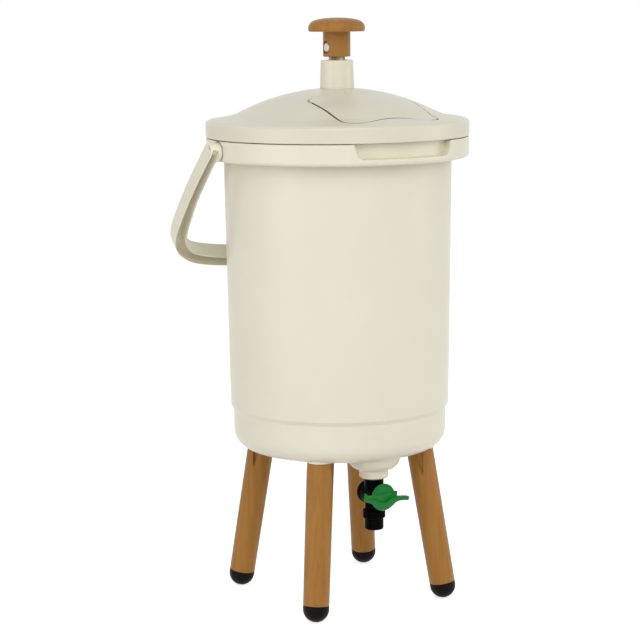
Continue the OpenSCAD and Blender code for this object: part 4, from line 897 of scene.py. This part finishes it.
    # Inside each head a disc, a stub and the snap that holds it in its seat
    r, x0, x1 = b["snap"]
    d0, d1, d2, d3 = b["disc"]
    stub, under = b["stub"], rHead - b["undercut"]
    line = rounded([(0.01, x0), (r, x0), (r, x1), (stub, x1), (stub, d0), (under, d0), (under, d1), (rHead, d2),
                    (rHead, d3), (0.01, d3)], [0, 0.8, 0.2, 0, 0.2, 0.4, 0.3, 0.3, 0, 0], 5)
    centre = leaned(hs, hm, 0.0)
    for side in (-1, 1):
        parts.append(part(alongX(turned(line, 120), centre[1], centre[2]) * [side, 1, 1]))
    return piece("bailFrame", parts, "bail", cream, ["bail_handle"], sharp=34)


makeBail()
print("knob and bail made")

# Legs: splayed round bars cut level at the top, with two notches each, and round black feet cut flat on the floor
leg = {"radius": 15.6, "topRadius": 16.2, "circle": 128.2, "footZ": 16.0, "splay": 9.5, "top": 187.4, "low": 3.9,
       "notch": 84.0, "notchLow": 146.0, "notchHalf": (1.0, 4.6), "notchRun": 22.0, "notchFloor": 12.6,
       "ball": (3.65, 3.2, -0.55), "stem": (7, -3, 12),
       "names": (("front_left", -45), ("front_right", 45), ("rear_right", 135), ("rear_left", -135))}


# From a leg's own frame, z along the bar, to the bin's: leaned inwards by the splay, set out and turned to its corner
def legPlace(grid, corner):
    c, s = math.cos(math.radians(leg["splay"])), math.sin(math.radians(leg["splay"]))
    x, y, z = grid[..., 0], grid[..., 1], grid[..., 2]
    leaned = np.stack([x, y * c + z * s - leg["circle"], leg["footZ"] - y * s + z * c], -1)
    return spun(leaned, (0, 0, 1), corner)


# A bar whose rows end on the level top; in a notch, wider towards the top, the surface slides in to a flat. The foot
# is a half ball below the bar, pressed flat on the floor, with a stem inside the bar
def makeLeg(name, corner):
    k = leg
    c, s = math.cos(math.radians(k["splay"])), math.sin(math.radians(k["splay"]))
    n = math.radians(k["notch"])
    a = spread(260, -np.pi, np.pi, lambda t: 1 + 6 * hump(np.abs(t), n, 0.22, 0.08))[:-1]
    w = np.concatenate([np.linspace(0.004, 0.86, 40), np.linspace(0.865, 0.995, 54)])[:, None]
    end = (k["top"] - k["footZ"] - k["radius"] * np.cos(a) * s) / c
    rBar = k["radius"] + (k["topRadius"] - k["radius"]) * w
    x, y, t = rBar * np.sin(a), -rBar * np.cos(a), k["low"] + w * (end - k["low"])
    for side in (-n, n):
        out = np.array([math.sin(side), -math.cos(side)])
        across = x * math.cos(side) + y * math.sin(side)
        away = x * out[0] + y * out[1]
        lo, hi = k["notchHalf"]
        half = lo + (hi - lo) * np.clip((t - k["notchLow"]) / k["notchRun"], 0, 1)
        m = (within(half - np.abs(across), 0.5) * within(t - k["notchLow"], 0.6) * (away > 0)
             * np.maximum(away - k["notchFloor"], 0))
        x, y = x - m * out[0], y - m * out[1]
    grid = np.stack([x, y, t], -1)
    # Rounded edges and flat ends: the first and last rows drawn in
    ends = []
    for row, step in ((grid[0], -1), (grid[-1], 1)):
        for share, move in ((0.975, 0.45), (0.0006, 0.45)):
            ends.append(row * [share, share, 1] + [0, 0, step * move])
    grid = np.concatenate([np.stack(ends[:2][::-1]), grid, np.stack(ends[2:])])
    grid[0, :, 2] = grid[1, :, 2] = k["low"] - 0.25
    piece("leg_" + name, [part(legPlace(grid, corner))], "bin", wood, ["leg_" + name], sharp=32)
    t, r = np.radians(np.linspace(0, 90, 30)), k["radius"]
    high, edge, middle = k["ball"]
    ball = legPlace(turned(np.concatenate([[[0.01, high], [r - 0.4, high], [r, edge]],
                                           np.stack([r * np.cos(t), middle - r * np.sin(t)], -1)]), 120), corner)
    ball[..., 2] = np.maximum(ball[..., 2], 0.0)
    stem = legPlace(turned(drum(*k["stem"], 0.3, 0.5, 3), 48), corner)
    piece("foot_" + name, [part(ball), part(stem)], "bin", footRubber, ["foot_" + name], sharp=40)


for legName, legCorner in leg["names"]:
    makeLeg(legName, legCorner)
print("legs made")

# The tap, about its own upright axis at y and the valve's axis at height z
tap = {"y": -77.0, "z": 140.0, "thread": (10.45, 172.0), "neck": (11.7, 159.4), "housing": (13.0, 12.0),
       "nose": (11.0, 16.1), "ribs": (9.5, 10.5, 24), "ribHeights": (132.0, 126.0), "cap": (13.6, 18.0, 36),
       "flange": (13.7, 111.6, 120.8), "bore": (8.4, 6.1, 106.0), "outlet": (11.4, 96.9, 7.0, 118.0), "notches": 12}


# A turned piece laid along -Y in front of (x, z): the height becomes the distance forwards
def alongY(grid, x, y, z):
    return np.stack([grid[..., 0] + x, y - grid[..., 2], grid[..., 1] + z], -1)


# Turned pieces on the two axes; ribs, grips and notches move the radius in and out with the angle
def makeTap():
    k = tap
    y0, z0 = k["y"], k["z"]
    (rt, top), (rn, shoulder) = k["thread"], k["neck"]
    neck = rounded([(0.01, top), (rt, top), (rt, shoulder), (rn, shoulder), (rn, z0), (0.01, z0)],
                   [0, 0.6, 0, 0.5, 0, 0], 4)
    low, high, count = k["ribs"]
    a = around(count * 12)
    r = low + (high - low) * smooth((np.cos(a * count / 2) - 0.25) / 0.35)
    rFlange, zLow, zHigh = k["flange"]
    z = np.array([z0, *k["ribHeights"], zHigh - 0.5])[:, None]
    ribbed = np.stack([r * np.sin(a) + 0 * z, y0 - r * np.cos(a) + 0 * z, z + 0 * r], -1)
    (rh, half), (r2, nose) = k["housing"], k["nose"]
    barrel = rounded([(0.01, -half), (rh, -half), (rh, half), (r2, half), (r2, nose), (0.01, nose)],
                     [0, 0.8, 0.9, 0.2, 0.6, 0], 5)
    wide, narrow, zBore = k["bore"]
    bore = rounded([(wide, zHigh + 2), (wide, zBore), (narrow, zBore), (narrow, zHigh + 2)], [0, 0.4, 0.4, 0], 3)
    parts = [part(turned(neck, 120, (0, y0))), part(ribbed),
             part(alongY(turned(refined(barrel, 5), 140), 0, y0, z0)), part(turned(bore, 64, (0, y0)))]
    piece("tapHousing", parts, "bin", tapBlack, ["tap_body"], sharp=36)
    # Cap behind the housing, with grips round its rim
    rc, deep, count = k["cap"]
    a = around(count * 8)
    capGrid = turned(drum(rc, half, deep, 0.5, 1.2, 5), angles=a)
    dip = 0.45 * smooth((np.cos(a * count) - 0.2) / 0.5)
    nearRim = smooth((np.hypot(capGrid[..., 0], capGrid[..., 1]) - rc + 2.5) / 1.5)
    capGrid[..., :2] *= (1 - dip / rc * nearRim)[..., None]
    piece("tapCap", [part(alongY(capGrid * [1, 1, -1], 0, y0, z0))], "bin", tapBlack, ["tap_back_cap"],
          sharp=36)
    # Outlet collar: notches round the flange, a plain spout below, its mouth open
    r, end, mouth, deep = k["outlet"]
    a = around(288)
    line = np.concatenate([
        rounded([(9.0, zHigh - 1), (9.0, zHigh), (rFlange, zHigh), (rFlange, zLow), (r, zLow - 0.6), (r, zLow - 3)],
                [0, 0.4, 1.0, 0.8, 0.5, 0], 5),
        rounded([(r, zLow - 4), (r, end), (mouth, end), (mouth, deep), (0.01, deep)], [0, 2.0, 0.6, 0.5, 0], 6)])
    spoutGrid = turned(refined(line, 3), angles=a)
    q, z = np.hypot(spoutGrid[..., 0], spoutGrid[..., 1]), spoutGrid[..., 2]
    near = np.abs((a / (2 * np.pi) * k["notches"] + 0.5) % 1 - 0.5) / k["notches"] * 2 * np.pi * rFlange
    m = within(1.6 - near, 0.5) * within(zHigh - 2.4 - z, 0.4) * smooth((z - zLow + 1) / 0.5)
    spoutGrid[..., :2] *= (1 - m * np.maximum(q - (rFlange - 1.2), 0) / np.maximum(q, 1))[..., None]
    spoutGrid[..., 1] += y0
    piece("tapSpout", [part(spoutGrid)], "bin", tapBlack, ["tap_outlet_collar"], sharp=36)


makeTap()

# The lever: a thin dished disc on a hub, and a wing across its front. A row of the wing gives x, its front, the
# heights of its front edge and its lower edge, the wall's distance behind the front and its height over the edge, and
# the low point behind
lever = {"radius": 16.4, "face": 21.5, "rim": 1.8, "hub": (12.5, 16.6), "stop": (10.0, 19.6, -1.0, 7.2, 17.9, 21.0),
         "wing": ((-29.6, 28.6, 8.4, 1.0, 3.6, 0.1, 1.0), (-29.2, 29.3, 9.0, -0.4, 4.0, 0.1, -0.4),
                  (-28.2, 29.5, 9.0, -1.0, 4.2, 0.1, -1.0), (-27.6, 29.5, 3.0, -1.4, 4.4, 4.6, -1.2),
                  (-26.4, 29.5, 1.9, -1.8, 4.6, 4.8, -1.4), (-22, 29.5, 1.5, -3.4, 4.6, 4.2, -3.0),
                  (-18, 29.5, 0.6, -5.2, 5.6, 4.6, -5.6), (-14, 29.5, -1.7, -6.8, 8.2, 6.6, -9.6),
                  (-10, 29.5, -3.1, -7.8, 8.2, 7.6, -13.2), (-6, 29.5, -4.0, -8.6, 8.2, 8.2, -15.4),
                  (-2, 29.5, -4.4, -8.8, 8.2, 8.4, -16.2), (2, 29.5, -3.0, -8.4, 8.2, 7.4, -16.0),
                  (6, 29.5, -1.0, -7.4, 8.2, 6.0, -14.6), (10, 29.5, -0.2, -6.2, 8.2, 4.6, -11.8),
                  (14, 29.5, 0.1, -5.4, 7.0, 2.0, -7.6), (18, 29.5, 0.3, -5.1, 4.8, 0.2, -5.3),
                  (24, 29.5, -0.2, -5.4, 4.6, 0.1, -5.4), (29, 29.5, -0.9, -6.0, 4.6, 0.1, -6.0),
                  (31.0, 29.3, -1.3, -6.0, 4.3, 0.1, -5.9), (31.6, 28.7, -2.0, -5.4, 3.2, 0.05, -5.3))}


# The wing's rows run across it, each from the wall's top over the scoop and the front to the low point behind
def makeLever():
    k = lever
    rDisc, face, (rh, back), thick = k["radius"], k["face"], k["hub"], k["rim"]
    disc = rounded([(0.01, back), (rh, back), (rh, face - thick), (rDisc, face - thick), (rDisc, face),
                    (rDisc - 1.6, face), (rDisc - 3.4, face - 0.9), (0.01, face - 1.1)],
                   [0, 0.5, 0.3, 0.5, 0.7, 0.8, 1.5, 0], 5)
    parts = [part(alongY(turned(refined(disc, 2.5), 160), 0, tap["y"], tap["z"]))]
    x, front, edge, low, wall, rise, rear = through(k["wing"], 120).T
    t = np.radians(np.linspace(0, 90, 10))
    # The scoop: a quarter of an ellipse from the wall's top down to the front edge
    cols = [(front - wall * np.cos(u), edge + rise * (1 - np.sin(u))) for u in t]
    cols += [(front - 0.5, edge + 0.02), (front - 0.12, edge - 0.15), (front, edge - 0.6), (front, (edge + low) / 2)]
    cols += [(front - 0.05, low + 1.0), (front - 0.5, low + 0.2 + (rear - low) * 0.04)]
    # The belly: a convex curve from the front's lower edge back to the low point behind
    cols += [(front - 0.8 - (wall - 0.9) * (1 - math.cos(u)), low + (rear - low) * math.sin(u)) for u in t[1:]]
    wingGrid = np.stack([np.stack([x, tap["y"] - f, tap["z"] + h], -1) for f, h in cols], 1)
    parts.append(part(np.concatenate([cap(wingGrid[0]), wingGrid, cap(wingGrid[-1])])))
    # The stop: a leaning block with its edges rounded
    x0, x1, z0, z1, y0, y1 = k["stop"]
    a = np.radians(np.arange(0, 360, 10) + 5.0)
    cx, cz, hx, hz = (x0 + x1) / 2, (z0 + z1) / 2, (x1 - x0) / 2, (z1 - z0) / 2
    edgeX, edgeZ = cx + np.clip(np.cos(a) * 9, -hx, hx), cz + np.clip(np.sin(a) * 9, -hz, hz)
    box = [np.stack([cx + (edgeX - cx) * g, 0 * edgeX + tap["y"] - y, tap["z"] + cz + (edgeZ - cz) * g], -1)
           for g, y in ((0.001, y0), (0.94, y0), (1, y0 + 0.4), (1, y1 - 0.5), (0.92, y1), (0.001, y1))]
    parts.append(part(spun(np.stack(box), (0, 1, 0), 7, (0, tap["y"], tap["z"]))))
    return piece("tapLever", parts, "valve", leverGreen, ["tap_lever"], sharp=50)


makeLever()
print("tap made")

# The camera that matches the photo: a focal length in pixels of a 640 wide picture, its distance from the bin's axis
# and its height in mm, angles in radians but for the azimuth
view = {"focal": 1945.28, "distance": 2339.98, "height": 716.16, "pitch": 0.158917, "roll": -0.0096018,
        "yaw": -0.009852, "azimuth": -31.596}


# The camera looks at the axis, then turns by its yaw, tips down by its pitch and rolls
def addCamera(v):
    ca, sa = math.cos(math.radians(v["azimuth"])), math.sin(math.radians(v["azimuth"]))
    cy, sy, cp, sp = math.cos(v["yaw"]), math.sin(v["yaw"]), math.cos(v["pitch"]), math.sin(v["pitch"])
    cr, sr = math.cos(v["roll"]), math.sin(v["roll"])
    right0, front0 = np.array([ca, sa, 0]), np.array([-sa, ca, 0])
    up0 = np.array([0, 0, 1.0])
    right, front = cy * right0 - sy * front0, sy * right0 + cy * front0
    ahead, up = cp * front - sp * up0, cp * up0 + sp * front
    cam = bpy.data.cameras.new("camera")
    cam.sensor_width = 36
    cam.lens = 36 * v["focal"] / 640
    cam.clip_end = 50
    obj = bpy.data.objects.new("camera", cam)
    bpy.context.scene.collection.objects.link(obj)
    place = np.array([sa * v["distance"], -ca * v["distance"] + axisY, v["height"]]) * mm
    m = np.eye(4)
    m[:3, :] = np.stack([cr * right + sr * up, cr * up - sr * right, -ahead, place], -1)
    obj.matrix_world = Matrix(m.tolist())
    bpy.context.scene.camera = obj
    return obj


addCamera(view)

# Lights in metres and watts, all turned to the middle of the bin
light = {"worldStrength": 0.42, "worldShade": (1.0, 1.0, 1.0, 1.0), "floor": tone(234, 234, 234), "floorLift": 0.7,
         "floorRings": (0.0, 0.6, 1.5, 4.0, 9.0), "lampShade": (1.0, 0.985, 0.96), "target": (0, 0, 0.35),
         "lamps": (("keyLight", (-1.2, -2.8, 2.3), 3.2, 50.0), ("sideLight", (2.6, -1.6, 1.0), 2.0, 16.0),
                   ("leftLight", (-3.0, -0.2, 0.8), 2.0, 18.0), ("topLight", (-0.4, -1.1, 2.9), 2.4, 2.5))}


# A round lamp that faces the target
def addArea(name, at, size, power):
    d = bpy.data.lights.new(name, "AREA")
    d.shape = "DISK"
    d.size = size
    d.energy = power
    d.color = light["lampShade"]
    o = bpy.data.objects.new(name, d)
    bpy.context.scene.collection.objects.link(o)
    o.location = at
    o.rotation_euler = (Vector(light["target"]) - Vector(at)).to_track_quat("-Z", "Y").to_euler()
    return o


# 1 where a ray comes from the camera, a mirror or glass: the white that only they see
def seenRay(tree):
    path = addNode(tree, "LightPath")
    first, second = addNode(tree, "Math", operation="MAXIMUM"), addNode(tree, "Math", operation="MAXIMUM")
    link(tree, (path, "Is Camera Ray", first, 0), (path, "Is Glossy Ray", first, 1), (first, "Value", second, 0),
         (path, "Is Transmission Ray", second, 1))
    return second


# A soft even light from all round, seen as plain white
def setWorld(spec):
    w = bpy.data.worlds.new("studio")
    bpy.context.scene.world = w
    w.use_nodes = True
    t = w.node_tree
    soft = t.nodes["Background"]
    soft.inputs["Color"].default_value = spec["worldShade"]
    soft.inputs["Strength"].default_value = spec["worldStrength"]
    white, pick = addNode(t, "Background", {"Color": (1, 1, 1, 1), "Strength": 1.0}), addNode(t, "MixShader")
    link(t, (seenRay(t), "Value", pick, "Fac"), (soft, "Background", pick, 1), (white, "Background", pick, 2),
         (pick, "Shader", t.nodes["World Output"], "Surface"))


# Rings of a wide round floor just below the feet; seen rays get some light of its own on top of what falls on it
def addFloor(spec):
    rings, a = np.array(spec["floorRings"])[:, None], around(96)
    v, f = part(np.stack([rings * np.cos(a), rings * np.sin(a), -0.0004 + 0 * rings * a], -1))
    me = bpy.data.meshes.new("floor")
    me.from_pydata(v.tolist(), [], f.tolist())
    bm = bmesh.new()
    bm.from_mesh(me)
    bmesh.ops.remove_doubles(bm, verts=bm.verts, dist=1e-6)
    bm.to_mesh(me)
    bm.free()
    o = bpy.data.objects.new("floor", me)
    bpy.context.scene.collection.objects.link(o)
    m = bpy.data.materials.new("paleFloor")
    m.use_nodes = True
    t = m.node_tree
    surface = t.nodes["Principled BSDF"]
    for key, value in (("Base Color", spec["floor"]), ("Roughness", 0.9), ("Specular IOR Level", 0.1)):
        surface.inputs[key].default_value = value
    glow = addNode(t, "Emission", {"Color": (1, 1, 1, 1), "Strength": spec["floorLift"]})
    nothing = addNode(t, "Emission", {"Strength": 0.0})
    pick, both = addNode(t, "MixShader"), addNode(t, "AddShader")
    link(t, (seenRay(t), "Value", pick, "Fac"), (nothing, "Emission", pick, 1), (glow, "Emission", pick, 2),
         (surface, "BSDF", both, 0), (pick, "Shader", both, 1),
         (both, "Shader", t.nodes["Material Output"], "Surface"))
    me.materials.append(m)


setWorld(light)
for lamp in light["lamps"]:
    addArea(*lamp)
addFloor(light)
bpy.context.scene.view_settings.view_transform = "Standard"
print("camera, floor and light set")
